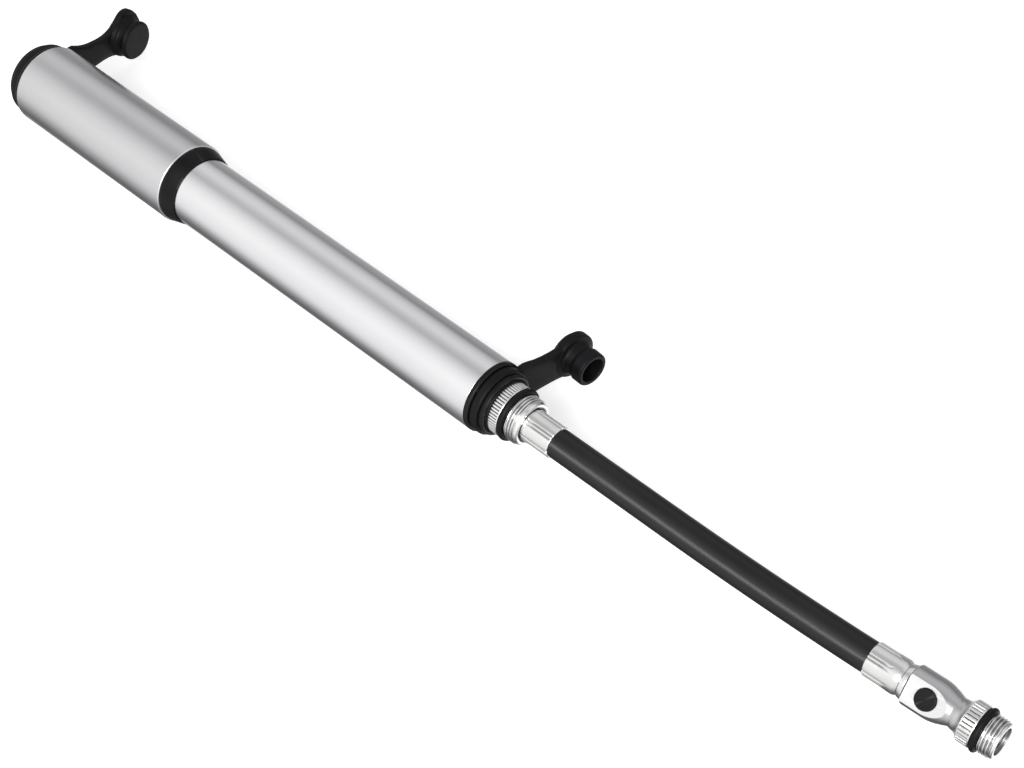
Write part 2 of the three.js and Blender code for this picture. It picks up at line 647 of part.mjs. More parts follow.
// The flat pad's outline, cut away above the pad plane; its far end is round.
function padCutter() {
  const straightEnd = PAD_END - PAD_HALF_WIDTH - BUTTON_X;
  const openEnd = CHUCK_LEFT - 1 - BUTTON_X;
  const outline = new THREE.Shape();
  outline.moveTo(openEnd, -PAD_HALF_WIDTH);
  outline.lineTo(straightEnd, -PAD_HALF_WIDTH);
  outline.absarc(straightEnd, 0, PAD_HALF_WIDTH, -Math.PI / 2, Math.PI / 2);
  outline.lineTo(openEnd, PAD_HALF_WIDTH);
  outline.closePath();
  return standOnPad(extrudedAlongX(outline, PAD_HEIGHT, CHUCK_RADIUS), BUTTON_X);
}

// A solid round rod around X that clears the middle of a knurled band.
function innerCore(left, right, radius, sides) {
  return turned([[left - 1, 0], [left - 1, radius], [right + 1, radius], [right + 1, 0]], sides);
}

function chuckBodyShape() {
  const swivelBore = BARB_RADIUS + 0.25;
  const edge = 0.4;
  const waist = 136.4;
  const body = turned([
    [CHUCK_LEFT, swivelBore], [CHUCK_LEFT, CHUCK_RADIUS - edge], [CHUCK_LEFT + edge, CHUCK_RADIUS],
    [waist - 4, CHUCK_RADIUS], [waist - 3, CHUCK_RADIUS - 0.25], [waist - 2, CHUCK_RADIUS - 0.7],
    [waist - 1, CHUCK_NECK_RADIUS + 0.15], [waist, CHUCK_NECK_RADIUS],
    [waist + 1, CHUCK_NECK_RADIUS + 0.1], [CHUCK_KNURL_LEFT, CHUCK_KNURL_CORE],
    [CHUCK_KNURL_RIGHT, CHUCK_KNURL_CORE], [CHUCK_KNURL_RIGHT, CHUCK_ORING_FLOOR],
    [CHUCK_THREAD_LEFT, CHUCK_ORING_FLOOR],
    ...threadRidges(CHUCK_THREAD_LEFT, CHUCK_RIGHT - edge, CHUCK_THREAD_RADIUS, THREAD_PITCH,
      THREAD_DEPTH),
    [CHUCK_RIGHT, CHUCK_THREAD_RADIUS - THREAD_DEPTH], [CHUCK_RIGHT, CHUCK_MOUTH],
    [MOUTH_FLOOR_X, CHUCK_MOUTH], [MOUTH_FLOOR_X, CHUCK_PASSAGE],
    [SWIVEL_POCKET_X, CHUCK_PASSAGE], [SWIVEL_POCKET_X, swivelBore],
  ], SMALL_ROUND);
  const teeth = knurledBand(CHUCK_KNURL_LEFT, CHUCK_KNURL_RIGHT, CHUCK_KNURL_RADIUS, KNURL_DEPTH,
    CHUCK_KNURL_TEETH);
  const core = innerCore(CHUCK_KNURL_LEFT, CHUCK_KNURL_RIGHT, CHUCK_KNURL_CORE - edge, SMALL_ROUND);

  const wellRadius = BUTTON_RADIUS + 0.12;
  const wellTop = PAD_HEIGHT + 1;
  const well = standOnPad(turned([
    [BUTTON_FLOOR, 0], [BUTTON_FLOOR, wellRadius], [wellTop, wellRadius], [wellTop, 0],
  ], SMALL_ROUND), BUTTON_X);
  const pinHoleRadius = BUTTON_PIN_RADIUS + 0.2;
  const pinHole = standOnPad(turned([
    [0, 0], [0, pinHoleRadius], [BUTTON_FLOOR + 0.5, pinHoleRadius], [BUTTON_FLOOR + 0.5, 0],
  ], SMALL_ROUND), BUTTON_X);
  return cut(join(body, cut(teeth, core)), padCutter(), well, pinHole);
}

function addChuck(parent) {
  piece(parent, 'chuck_body', chuckBodyShape(), satinAluminium());
  const cord = 0.7;
  piece(parent, 'chuck_oring',
    ringSeal((CHUCK_KNURL_RIGHT + CHUCK_THREAD_LEFT) / 2, CHUCK_ORING_FLOOR + FIT_GAP + cord, cord,
      SMALL_ROUND),
    blackRubber());

  const gasketRight = MOUTH_FLOOR_X + 3.1;
  const insertRight = CHUCK_RIGHT - 0.8;
  const mouthFit = CHUCK_MOUTH - 0.1;
  piece(parent, 'valve_gasket',
    sleeve(MOUTH_FLOOR_X + 0.1, gasketRight, mouthFit, 1.3, SMALL_ROUND), blackRubber());
  piece(parent, 'valve_insert',
    sleeve(gasketRight + 0.1, insertRight, mouthFit, 2.65, SMALL_ROUND), brightAluminium());

  const top = PAD_HEIGHT + BUTTON_PROUD;
  const edge = 0.35;
  const dome = 0.12;
  const button = turned([
    [1, 0], [1, BUTTON_PIN_RADIUS], [BUTTON_BOTTOM, BUTTON_PIN_RADIUS],
    [BUTTON_BOTTOM, BUTTON_RADIUS], [top - edge, BUTTON_RADIUS], [top, BUTTON_RADIUS - edge],
    [top + dome, 0],
  ], SMALL_ROUND);
  piece(parent, 'bleed_button', standOnPad(button, BUTTON_X), blackComposite());
  const springBottom = BUTTON_FLOOR + BUTTON_TRAVEL + FIT_GAP;
  const spring = coilSpring(springBottom, BUTTON_BOTTOM - FIT_GAP, 1.5, 0.12, 2);
  piece(parent, 'bleed_spring', standOnPad(spring, BUTTON_X), springSteel());
}

// ---------------------------------------------------------------- whole pump

// The pump lies on the plane z = 0 with the origin under the middle of its bounding box, so its
// axis, with the barrel's hose end at station x = 0, is placed here.
const AXIS_PLACE = [16.16, -12.67, HANDLE_RADIUS];

const stations = new THREE.Group();
stations.position.set(...AXIS_PLACE);
addBarrel(stations);
addPortCap(stations);
addCheckValve(stations);
addHandle(stations);
addPlunger(stations);
addFlipCaps(stations, stations);
addHoseFitting(stations);
addChuck(addHose(stations));

const pump = new THREE.Group();
pump.add(stations);

export default pump;
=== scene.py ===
import json
import math

import bmesh
import bpy
from mathutils import Matrix, Vector


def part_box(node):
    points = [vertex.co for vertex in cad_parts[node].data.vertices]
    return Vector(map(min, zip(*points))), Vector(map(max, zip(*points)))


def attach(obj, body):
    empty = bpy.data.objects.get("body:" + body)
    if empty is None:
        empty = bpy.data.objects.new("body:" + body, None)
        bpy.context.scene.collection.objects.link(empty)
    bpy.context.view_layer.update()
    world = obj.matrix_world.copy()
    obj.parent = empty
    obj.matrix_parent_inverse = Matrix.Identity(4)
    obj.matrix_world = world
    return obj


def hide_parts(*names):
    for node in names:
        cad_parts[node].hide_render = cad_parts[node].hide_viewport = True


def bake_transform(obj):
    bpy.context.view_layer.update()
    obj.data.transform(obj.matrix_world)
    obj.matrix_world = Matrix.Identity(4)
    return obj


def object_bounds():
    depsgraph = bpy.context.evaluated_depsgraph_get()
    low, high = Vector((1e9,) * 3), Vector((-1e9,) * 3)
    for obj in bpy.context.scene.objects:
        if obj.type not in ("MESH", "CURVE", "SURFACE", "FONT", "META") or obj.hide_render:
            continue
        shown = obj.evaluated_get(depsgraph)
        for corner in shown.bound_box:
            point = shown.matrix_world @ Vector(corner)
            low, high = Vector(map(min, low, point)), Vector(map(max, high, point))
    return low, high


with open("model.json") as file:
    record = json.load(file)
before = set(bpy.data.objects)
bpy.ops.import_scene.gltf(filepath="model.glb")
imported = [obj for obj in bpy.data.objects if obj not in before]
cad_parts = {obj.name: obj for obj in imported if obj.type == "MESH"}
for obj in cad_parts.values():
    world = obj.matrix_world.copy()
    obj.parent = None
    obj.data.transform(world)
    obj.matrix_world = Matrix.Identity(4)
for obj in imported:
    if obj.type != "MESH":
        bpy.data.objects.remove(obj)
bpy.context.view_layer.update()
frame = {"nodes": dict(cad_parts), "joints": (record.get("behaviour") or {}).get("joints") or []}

# Looks of a telescoping mini pump. Outlines are in millimetres, in an axis frame whose x runs
# along the turned piece; meshes are written in metres.
MM = 0.001
FORWARD = Vector((1, 0, 0))  # the pump's axis, towards the hose
ROUND = 128  # sides of a turned piece
SMALL_ROUND = 96  # sides of a small one
CORNER_STEPS = 4  # steps in a rounded corner of an outline

joints = {joint["name"]: joint for joint in frame["joints"]}


# ---- places taken from the frame

def pump_place():
    """The axis frame of the pump: x counts from the barrel's hose end, along the axis."""
    axis_point = Vector(joints["hose_unscrew"]["pos_m"])
    barrel_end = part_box("barrel_tube")[1].x
    return Matrix.Translation((barrel_end, axis_point.y, axis_point.z))


PUMP_PLACE = pump_place()


def joint_point(name):
    """A joint's point in mm, in the pump's axis frame."""
    return PUMP_PLACE.inverted() @ Vector(joints[name]["pos_m"]) / MM


def span(node, place=PUMP_PLACE):
    """Lowest x, highest x and outer radius of a CAD node, in mm, in the axis frame of place."""
    inverse = place.inverted()
    points = [inverse @ vertex.co / MM for vertex in frame["nodes"][node].data.vertices]
    stations = [point.x for point in points]
    radius = max(math.hypot(point.y, point.z) for point in points)
    return min(stations), max(stations), radius


BEND_SPACING = joint_point("hose_bend_middle").x - joint_point("hose_bend").x


def hose_end_place():
    """The axis frame of the chuck end; its x counts on from the straight part of the hose."""
    axis = Vector(joints["chuck_swivel"]["axis"])
    bend = Vector(joints["chuck_swivel"]["pos_m"])
    turn = Matrix.Rotation(math.atan2(axis.y, axis.x), 4, "Z")
    straight_x = joint_point("hose_bend").x + 2 * BEND_SPACING
    return Matrix.Translation(bend) @ turn @ Matrix.Translation((-straight_x * MM, 0, 0))


END_PLACE = hose_end_place()


# ---- small number helpers

def clamp(value, low=0.0, high=1.0):
    return max(low, min(high, value))


def smooth_step(low, high, value):
    share = clamp((value - low) / (high - low))
    return share * share * (3 - 2 * share)


def smooth_max(a, b, width):
    share = clamp(0.5 + 0.5 * (a - b) / width)
    return b + (a - b) * share + width * share * (1 - share)


def angle_apart(a, b):
    """Smallest angle between two directions, in radians."""
    return abs((a - b + math.pi) % (2 * math.pi) - math.pi)


# ---- outlines and turned meshes

def filleted(outline, closed=True):
    """(x, r) points from an outline of (x, r) or (x, r, fillet) corners, in mm; an open outline
    keeps its first and last corners sharp."""
    points = []
    count = len(outline)
    for index, corner in enumerate(outline):
        here = Vector(corner[:2])
        inside = closed or 0 < index < count - 1
        if len(corner) < 3 or not inside:
            points.append(tuple(here))
            continue
        before = Vector(outline[index - 1][:2]) - here
        after = Vector(outline[(index + 1) % count][:2]) - here
        half_angle = before.angle(after) / 2
        reach = min(corner[2] / math.tan(half_angle), 0.48 * before.length, 0.48 * after.length)
        start = here + before.normalized() * reach
        end = here + after.normalized() * reach
        for step in range(CORNER_STEPS + 1):
            share = step / CORNER_STEPS
            points.append(tuple(start.lerp(here, share).lerp(here.lerp(end, share), share)))
    return points


def along(left, right, radius, step=0.1):
    """Evenly spaced (x, r) points, for a stretch that carries relief."""
    count = max(2, round(abs(right - left) / step))
    return [(left + (right - left) * i / count, radius) for i in range(count + 1)]


def mesh_of(name, vertices, faces):
    mesh = bpy.data.meshes.new(name)
    mesh.from_pydata(vertices, [], faces)
    return mesh


def finish_mesh(mesh, sharp_degrees):
    """Faces outwards, smooth shading, and sharp edges where the surface really turns."""
    work = bmesh.new()
    work.from_mesh(mesh)
    bmesh.ops.recalc_face_normals(work, faces=work.faces)
    if work.calc_volume(signed=True) < 0:
        bmesh.ops.reverse_faces(work, faces=work.faces)
    work.to_mesh(mesh)
    work.free()
    mesh.shade_smooth()
    mesh.set_sharp_from_angle(angle=math.radians(sharp_degrees))


def new_object(name, data, place=Matrix.Identity(4)):
    made = bpy.data.objects.new(name, data)
    bpy.context.scene.collection.objects.link(made)
    made.matrix_world = place
    return made


def bands(rings, closed=False):
    """The faces between neighbouring rings of vertex numbers; a tip is one number repeated."""
    faces = []
    for first, second in zip(rings, rings[1:] + rings[:1] if closed else rings[1:]):
        for side in range(len(first)):
            following = (side + 1) % len(first)
            corners = (first[side], first[following], second[following], second[side])
            face = list(dict.fromkeys(corners))
            if len(face) > 2:
                faces.append(face)
    return faces


def turned_mesh(name, outline, sides=ROUND, relief=None):
    """A closed mesh turned about X from (x, r) points. relief(x, angle, r) changes a radius."""
    vertices, rings = [], []
    for x, radius in outline:
        if radius < 1e-6:
            rings.append([len(vertices)] * sides)
            vertices.append((x * MM, 0, 0))
            continue
        rings.append(range(len(vertices), len(vertices) + sides))
        for side in range(sides):
            angle = 2 * math.pi * side / sides
            r = radius + (relief(x, angle, radius) if relief else 0)
            vertices.append((x * MM, r * math.cos(angle) * MM, r * math.sin(angle) * MM))
    return mesh_of(name, vertices, bands(rings, closed=outline[0][1] > 1e-6))


def dress(piece, material, slot, body=None, stands_for=()):
    """Material, body and CAD nodes of one piece; the record slot is not used."""
    piece.data.materials.clear()
    piece.data.materials.append(material)
    if body:
        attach(piece, body)
    if stands_for:
        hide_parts(*stands_for)
    return piece


def dress_faces(piece, look, chosen):
    """A second look on the faces that chosen(face) picks."""
    piece.data.materials.append(look[0])
    for face in piece.data.polygons:
        face.material_index = 1 if chosen(face) else 0


def turned(name, outline, look, body, stands_for, place=PUMP_PLACE, sides=ROUND, relief=None,
           sharp_degrees=35):
    """One turned piece that rides on a body. look is a (material, slot) pair."""
    mesh = turned_mesh(name, outline, sides, relief)
    finish_mesh(mesh, sharp_degrees)
    return dress(new_object(name, mesh, place), *look, body, stands_for)


def ring_seal(name, x, inner, outer, body, node, place=PUMP_PLACE):
    """A rubber O-ring with a round cord."""
    cord = (outer - inner) / 2
    middle = (outer + inner) / 2
    steps = 24
    outline = [(x + cord * math.sin(2 * math.pi * i / steps),
                middle + cord * math.cos(2 * math.pi * i / steps)) for i in range(steps)]
    turned(name, outline, RUBBER, body, [node], place, sharp_degrees=80)


# ---- relief of turned pieces

THREAD_PITCH = 0.8
THREAD_STEP = 0.07  # spacing of the outline's points along a thread


def thread(left, right, pitch, depth):
    """Relief of a helical thread; the outline runs along the crest."""
    def relief(x, angle, _radius):
        if not left <= x <= right:
            return 0
        turn = (x - left) / pitch - angle / (2 * math.pi)
        ridge = 1 - abs(2 * (turn % 1) - 1)
        ridge = clamp((ridge - 0.14) / 0.62)
        fade = clamp((x - left) / (0.4 * pitch)) * clamp((right - x) / (0.4 * pitch))
        return -depth * (1 - ridge * fade)
    return relief


def flutes(left, right, count, depth, sharpness):
    """Relief of straight grooves around a knurled band."""
    def relief(x, angle, _radius):
        if not left <= x <= right:
            return 0
        groove = (0.5 + 0.5 * math.cos(count * angle)) ** sharpness
        return -depth * groove
    return relief


def crimp(round_end, open_end, radius, count, first_angle, depth):
    """Relief of pressed panels with one round end: a dark groove round each, a rib between two."""
    half_panel = 0.8 * math.pi * radius / count
    direction = math.copysign(1, open_end - round_end)
    groove_width = 0.2
    sunk = 0.12

    def relief(x, angle, r):
        if r < radius - 0.8:
            return 0
        share = ((angle - first_angle) * count / (2 * math.pi) + 0.5) % 1 - 0.5
        across = share * 2 * math.pi * radius / count
        along_panel = (x - round_end) * direction - half_panel
        edge = math.hypot(across, min(along_panel, 0)) - half_panel
        groove = math.exp(-(edge / groove_width) ** 2)
        full = smooth_step(-half_panel, half_panel, along_panel)
        return -full * (depth * groove + sunk * (1 - smooth_step(-0.2, 0.05, edge)))
    return relief


def add_relief(*reliefs):
    return lambda x, angle, radius: sum(relief(x, angle, radius) for relief in reliefs)


def only_outside(limit, relief):
    """A relief kept to the stretches of an outline whose radius is over the limit."""
    return lambda x, angle, radius: relief(x, angle, radius) if radius > limit else 0


def only_at(bore, relief):
    """A relief kept to the stretches of an outline that have one radius, such as a bore."""
    return lambda x, angle, radius: relief(x, angle, radius) if abs(radius - bore) < 1e-3 else 0


def knurl_edge(right, radius):
    """The three points that round off the right edge of a knurled band."""
    return [(right - 0.3, radius), (right - 0.08, radius - 0.06), (right, radius - 0.3)]


# ---- materials

class NodeTree:
    """Short calls for building the node tree of a material or a world from nothing."""

    def __init__(self, owner):
        owner.use_nodes = True
        self.tree = owner.node_tree
        self.tree.nodes.clear()

    def add(self, kind, **settings):
        node = self.tree.nodes.new(kind)
        for key, value in settings.items():
            setattr(node, key, value)
        return node

    def link(self, source, target):
        """Joins an output to an input, or writes a plain value into the input."""
        if isinstance(source, (int, float, tuple)):
            target.default_value = source
        else:
            self.tree.links.new(source, target)

    def curve(self, value, low, high, out_low=0.0, out_high=1.0, kind="LINEAR"):
        """A value mapped from one range to another, clamped."""
        node = self.add("ShaderNodeMapRange", clamp=True, interpolation_type=kind)
        self.link(value, node.inputs["Value"])
        for key, number in zip(("From Min", "From Max", "To Min", "To Max"),
                               (low, high, out_low, out_high)):
            node.inputs[key].default_value = number
        return node.outputs["Result"]

    def math(self, operation, *values):
        node = self.add("ShaderNodeMath", operation=operation)
        for value, target in zip(values, node.inputs):
            self.link(value, target)
        return node.outputs["Value"]

    def mix(self, share, first, second):
        node = self.add("ShaderNodeMix", data_type="RGBA")
        self.link(share, node.inputs["Factor"])
        self.link(first, node.inputs["A"])
        self.link(second, node.inputs["B"])
        return node.outputs["Result"]


class Nodes(NodeTree):
    """A new material with one principled shader; its patterns lie in the piece's own space, or
    in the space of its shape at rest."""

    def __init__(self, name, rest_space=False):
        self.material = bpy.data.materials.new(name)
        super().__init__(self.material)
        self.shader = self.add("ShaderNodeBsdfPrincipled")
        output = self.add("ShaderNodeOutputMaterial")
        self.link(self.shader.outputs["BSDF"], output.inputs["Surface"])
        if rest_space:
            source = self.add("ShaderNodeAttribute", attribute_name="rest_place")
            self.place = source.outputs["Vector"]
        else:
            self.place = self.add("ShaderNodeTexCoord").outputs["Object"]

    def stretched(self, scale):
        """The place, scaled by a different amount on each axis."""
        node = self.add("ShaderNodeMapping")
        self.link(self.place, node.inputs["Vector"])
        node.inputs["Scale"].default_value = scale
        return node.outputs["Vector"]

    def noise(self, scale, detail=3, roughness=0.55, stretch=None):
        node = self.add("ShaderNodeTexNoise")
        self.link(self.stretched(stretch) if stretch else self.place, node.inputs["Vector"])
        node.inputs["Scale"].default_value = scale
        node.inputs["Detail"].default_value = detail
        node.inputs["Roughness"].default_value = roughness
        return node.outputs["Fac"]

    def bump(self, height, distance, strength=1.0, normal=None):
        node = self.add("ShaderNodeBump")
        self.link(height, node.inputs["Height"])
        node.inputs["Distance"].default_value = distance
        node.inputs["Strength"].default_value = strength
        if normal:
            self.link(normal, node.inputs["Normal"])
        return node.outputs["Normal"]

    def edges(self, low=0.52, high=0.6):
        """1 on outer edges of the mesh, 0 elsewhere."""
        return self.curve(self.add("ShaderNodeNewGeometry").outputs["Pointiness"], low, high)

    def hollow_shade(self, distance, floor=0.0, shut=0.25, open_sky=0.85):
        """1 in the open, falling to floor deep in grooves that are narrower than the distance: the
        mask that paints shade into grooves.
        """
        node = self.add("ShaderNodeAmbientOcclusion", samples=8, only_local=True)
        node.inputs["Distance"].default_value = distance
        return self.curve(node.outputs["AO"], shut, open_sky, floor, 1.0)

    def set(self, **inputs):
        """Links or values for the shader's inputs; a blank in an input's name is written _."""
        for key, value in inputs.items():
            self.link(value, self.shader.inputs[key.replace("_", " ")])


def grey(value):
    return (value, value, value, 1)


# Each maker gives a look: a (material, slot) pair, the slot being the record's.
def make_satin_aluminium(name, rough=0.23, tone=0.82, slot="satin_aluminium"):
    """Blasted and anodised aluminium: a fine even grain, faint handling marks, bright worn rims,
    painted shade in grooves.
    """
    nodes = Nodes(name)
    cloud = nodes.noise(30, detail=3)
    grain = nodes.noise(6500, detail=2)
    streak = nodes.noise(1100, detail=2, stretch=(0.02, 1, 1))
    scuff = nodes.curve(nodes.noise(240, detail=6, roughness=0.7, stretch=(0.3, 1, 1)), 0.68, 0.82)
    body = nodes.mix(nodes.curve(cloud, 0.35, 0.65), (tone, tone, tone * 1.008, 1),
                     (tone * 1.02, tone * 1.02, tone * 1.025, 1))
    worn = nodes.mix(nodes.edges(), body, grey(0.95))
    # Shade painted into narrow grooves: there the colour falls towards near black.
    unshaded_share = nodes.hollow_shade(0.0005, 0.25)
    nodes.set(Base_Color=nodes.mix(unshaded_share, grey(0.03), worn), Metallic=1.0)
    spread = nodes.curve(cloud, 0.3, 0.7, rough - 0.015, rough + 0.015)
    spread = nodes.math("ADD", spread, nodes.curve(streak, 0.4, 0.7, 0.0, 0.02))
    spread = nodes.math("ADD", spread, nodes.math("MULTIPLY", scuff, 0.04))
    nodes.set(Roughness=spread)
    fine = nodes.bump(grain, 0.000015, 0.3)
    nodes.set(Normal=nodes.bump(streak, 0.000004, 0.2, fine))
    return nodes.material, slot


def make_machined_aluminium(name, rough=0.22, shaded_groove_share=0.3):
    """Turned aluminium: close tool rings, bright worn crests, grooves painted dark as shade."""
    nodes = Nodes(name)
    cloud = nodes.noise(140, detail=4)
    rings = nodes.noise(3000, detail=2, stretch=(1, 0.03, 0.03))
    nick = nodes.curve(nodes.noise(900, detail=5, roughness=0.7), 0.7, 0.8)
    body = nodes.mix(nodes.curve(cloud, 0.35, 0.65), (0.8, 0.795, 0.78, 1), (0.87, 0.865, 0.85, 1))
    worn = nodes.mix(nodes.edges(0.51, 0.56), body, grey(0.97))
    # Shade painted into the grooves: the colour falls towards near black where they are deep.
    unshaded_share = nodes.hollow_shade(0.0006, shaded_groove_share, 0.42, 0.9)
    nodes.set(Base_Color=nodes.mix(unshaded_share, grey(0.02), worn), Metallic=1.0)
    spread = nodes.curve(rings, 0.3, 0.7, rough - 0.04, rough + 0.05)
    nodes.set(Roughness=nodes.math("ADD", spread, nodes.math("MULTIPLY", nick, 0.15)))
    nodes.set(Normal=nodes.bump(rings, 0.00001, 0.4))
    return nodes.material, "bright_aluminium"


def make_rubber(name, rest_space=False):
    """Moulded black rubber: fine pores, soft dusty bloom, a faint sheen painted lighter onto its
    edges.
    """
    nodes = Nodes(name, rest_space)
    cloud = nodes.noise(210, detail=5, roughness=0.6)
    grain = nodes.noise(4200, detail=3)
    dust = nodes.curve(nodes.noise(1500, detail=6, roughness=0.75), 0.64, 0.78)
    tone = 0.0035
    body = nodes.mix(nodes.curve(cloud, 0.35, 0.7), (tone, tone, tone * 1.15, 1),
                     (tone * 1.5, tone * 1.5, tone * 1.8, 1))
    dusty = nodes.mix(nodes.math("MULTIPLY", dust, 0.1), body, grey(0.05))
    # A faint highlight painted onto the rubber's edges: their colour is lightened.
    sheen_edged = nodes.mix(nodes.math("MULTIPLY", nodes.edges(0.51, 0.58), 0.25), dusty, grey(0.03))
    nodes.set(Base_Color=sheen_edged, Specular_IOR_Level=0.14)
    nodes.set(Roughness=nodes.curve(cloud, 0.3, 0.7, 0.4, 0.54))
    nodes.set(Normal=nodes.bump(grain, 0.00003, 0.3, nodes.bump(cloud, 0.00006, 0.2)))
    return nodes.material, "black_rubber"


def make_composite(name, rough=0.32, turned_rings=True):
    """Satin black plastic: fine grain, edges rubbed a little lighter, close rings if turned."""
    nodes = Nodes(name)
    cloud = nodes.noise(160, detail=4)
    rings = nodes.noise(1900, detail=2, stretch=(1, 0.05, 0.05))
    grain = nodes.noise(5200, detail=2)
    tone = 0.0035
    body = nodes.mix(nodes.curve(cloud, 0.35, 0.65), grey(tone),
                     (tone * 1.4, tone * 1.4, tone * 1.6, 1))
    worn = nodes.mix(nodes.math("MULTIPLY", nodes.edges(0.515, 0.58), 0.4), body, grey(0.05))
    nodes.set(Base_Color=worn, Specular_IOR_Level=0.16)
    nodes.set(Roughness=nodes.curve(cloud, 0.3, 0.7, rough - 0.05, rough + 0.07))
    ring_depth = 0.00001 if turned_rings else 0.0
    nodes.set(Normal=nodes.bump(grain, 0.00002, 0.3, nodes.bump(rings, ring_depth, 0.3)))
    return nodes.material, "black_composite"


def make_hose_rubber():
    """Extruded hose cover: satin, a warm black, long shallow die lines, wiped dust."""
    nodes = Nodes("hose_rubber", rest_space=True)
    cloud = nodes.noise(95, detail=5, stretch=(0.35, 1, 1))
    lines = nodes.noise(2400, detail=3, stretch=(0.012, 1, 1))
    grain = nodes.noise(5200, detail=3)
    dust = nodes.curve(nodes.noise(1300, detail=6, roughness=0.75, stretch=(0.5, 1, 1)), 0.65, 0.8)
    body = nodes.mix(nodes.curve(cloud, 0.35, 0.65), (0.0045, 0.0039, 0.004, 1),
                     (0.0068, 0.0058, 0.006, 1))
    dusty = nodes.mix(nodes.math("MULTIPLY", dust, 0.12), body, (0.07, 0.065, 0.06, 1))
    nodes.set(Base_Color=dusty, Specular_IOR_Level=0.33)
    nodes.set(Roughness=nodes.curve(cloud, 0.3, 0.7, 0.27, 0.34))
    nodes.set(Normal=nodes.bump(grain, 0.00002, 0.35, nodes.bump(lines, 0.00002, 0.3)))
    return nodes.material, "hose_rubber"


def make_metal(name, colour, rough):
    """A plain drawn or turned metal for hidden parts, with tarnish and fine lines."""
    nodes = Nodes(name)
    cloud = nodes.noise(420, detail=5)
    lines = nodes.noise(2600, detail=2, stretch=(1, 0.08, 0.08))
    dull = tuple(part * 0.72 for part in colour[:3]) + (1,)
    nodes.set(Base_Color=nodes.mix(nodes.curve(cloud, 0.4, 0.7), colour, dull), Metallic=1.0)
    nodes.set(Roughness=nodes.curve(cloud, 0.3, 0.7, rough, rough + 0.14))
    nodes.set(Normal=nodes.bump(lines, 0.000015, 0.4))
    return nodes.material, name


SATIN = make_satin_aluminium("satin_aluminium")
HANDLE_SATIN = make_satin_aluminium("handle_aluminium", rough=0.29, tone=0.66)
CHUCK_SATIN = make_satin_aluminium("blasted_aluminium", rough=0.27, tone=0.56)
BRIGHT = make_machined_aluminium("bright_aluminium")
POLISHED = make_machined_aluminium("polished_aluminium", rough=0.14, shaded_groove_share=0.0)
PAD = make_satin_aluminium("machined_pad", rough=0.24, tone=0.7)
RIM = make_machined_aluminium("bright_rim", rough=0.3)
COMPOSITE = make_composite("black_composite")
RUBBER = make_rubber("black_rubber")
BUTTON = make_composite("black_button", rough=0.62, turned_rings=False)
# A dark satin look that paints shade onto the chuck's mouth wall and the valve insert inside it.
SHADED_INSERT = make_satin_aluminium("shaded_insert", rough=0.4, tone=0.3, slot="bright_aluminium")
BENT_RUBBER = make_rubber("black_rubber_bending", rest_space=True)
HOSE = make_hose_rubber()
STEEL = make_metal("spring_steel", (0.62, 0.62, 0.64, 1), 0.22)
BRASS = make_metal("brass", (0.78, 0.6, 0.32, 1), 0.2)


# ---- barrel

# Both end caps hold a rubber loop between a flange and a lip: where the flange and the groove
# end, from the tube's end.
CAP_FLANGE = 1.3
CAP_GROOVE_END = 3.9


def add_barrel():
    left, right, radius = span("barrel_tube")
    wall = 1.2
    turned("barrel", filleted([
        (left, radius, 0.2), (right, radius, 0.12), (right, radius - wall),
        (left, radius - wall, 0.2),
    ]), SATIN, "barrel", ["barrel_tube"])

    gland_left, gland_right, gland_radius = span("barrel_gland")
    hole = span("plunger_shaft")[2] + 0.12
    bore = radius - wall - 0.03
    turned("gland", filleted([
        (gland_left, gland_radius, 0.5), (left, gland_radius, 0.1), (left, bore),
        (gland_right, bore, 0.3), (gland_right, hole, 0.3), (gland_left, hole, 0.5),
    ]), COMPOSITE, "barrel", ["barrel_gland"])


def add_port_cap():
    left, right, radius = span("port_cap")
    spigot = radius - 1.25
    groove = radius - 1.6
    lip = radius - 1.3
    recess = lip - 0.85
    recess_floor = right - 1.2
    thread_bore, thread_floor = 6.32, -3.6
    chamber, chamber_floor = 3.3, -9
    passage = 1.0
    turned("port_cap", filleted([
        (left, spigot), (0, spigot), (0, radius, 0.3), (CAP_FLANGE, radius, 0.5),
        (CAP_FLANGE, groove, 0.1), (CAP_GROOVE_END, groove, 0.1), (CAP_GROOVE_END, lip, 0.25),
        (right, lip, 0.55), (right, recess, 0.2), (recess_floor, recess, 0.15),
        (recess_floor, thread_bore, 0.2), (thread_floor, thread_bore), (thread_floor, chamber),
        (chamber_floor, chamber), (chamber_floor, passage), (left, passage),
    ]), COMPOSITE, "barrel", ["port_cap"])
    seal_left, seal_right, seal_radius = span("port_seal_oring")
    outer = min(seal_radius, span("hose_fitting")[2] + 0.4)
    ring_seal("port_seal", (seal_left + seal_right) / 2, thread_bore - 0.05, outer,
              "port_seal", "port_seal_oring")


# ---- handle and plunger

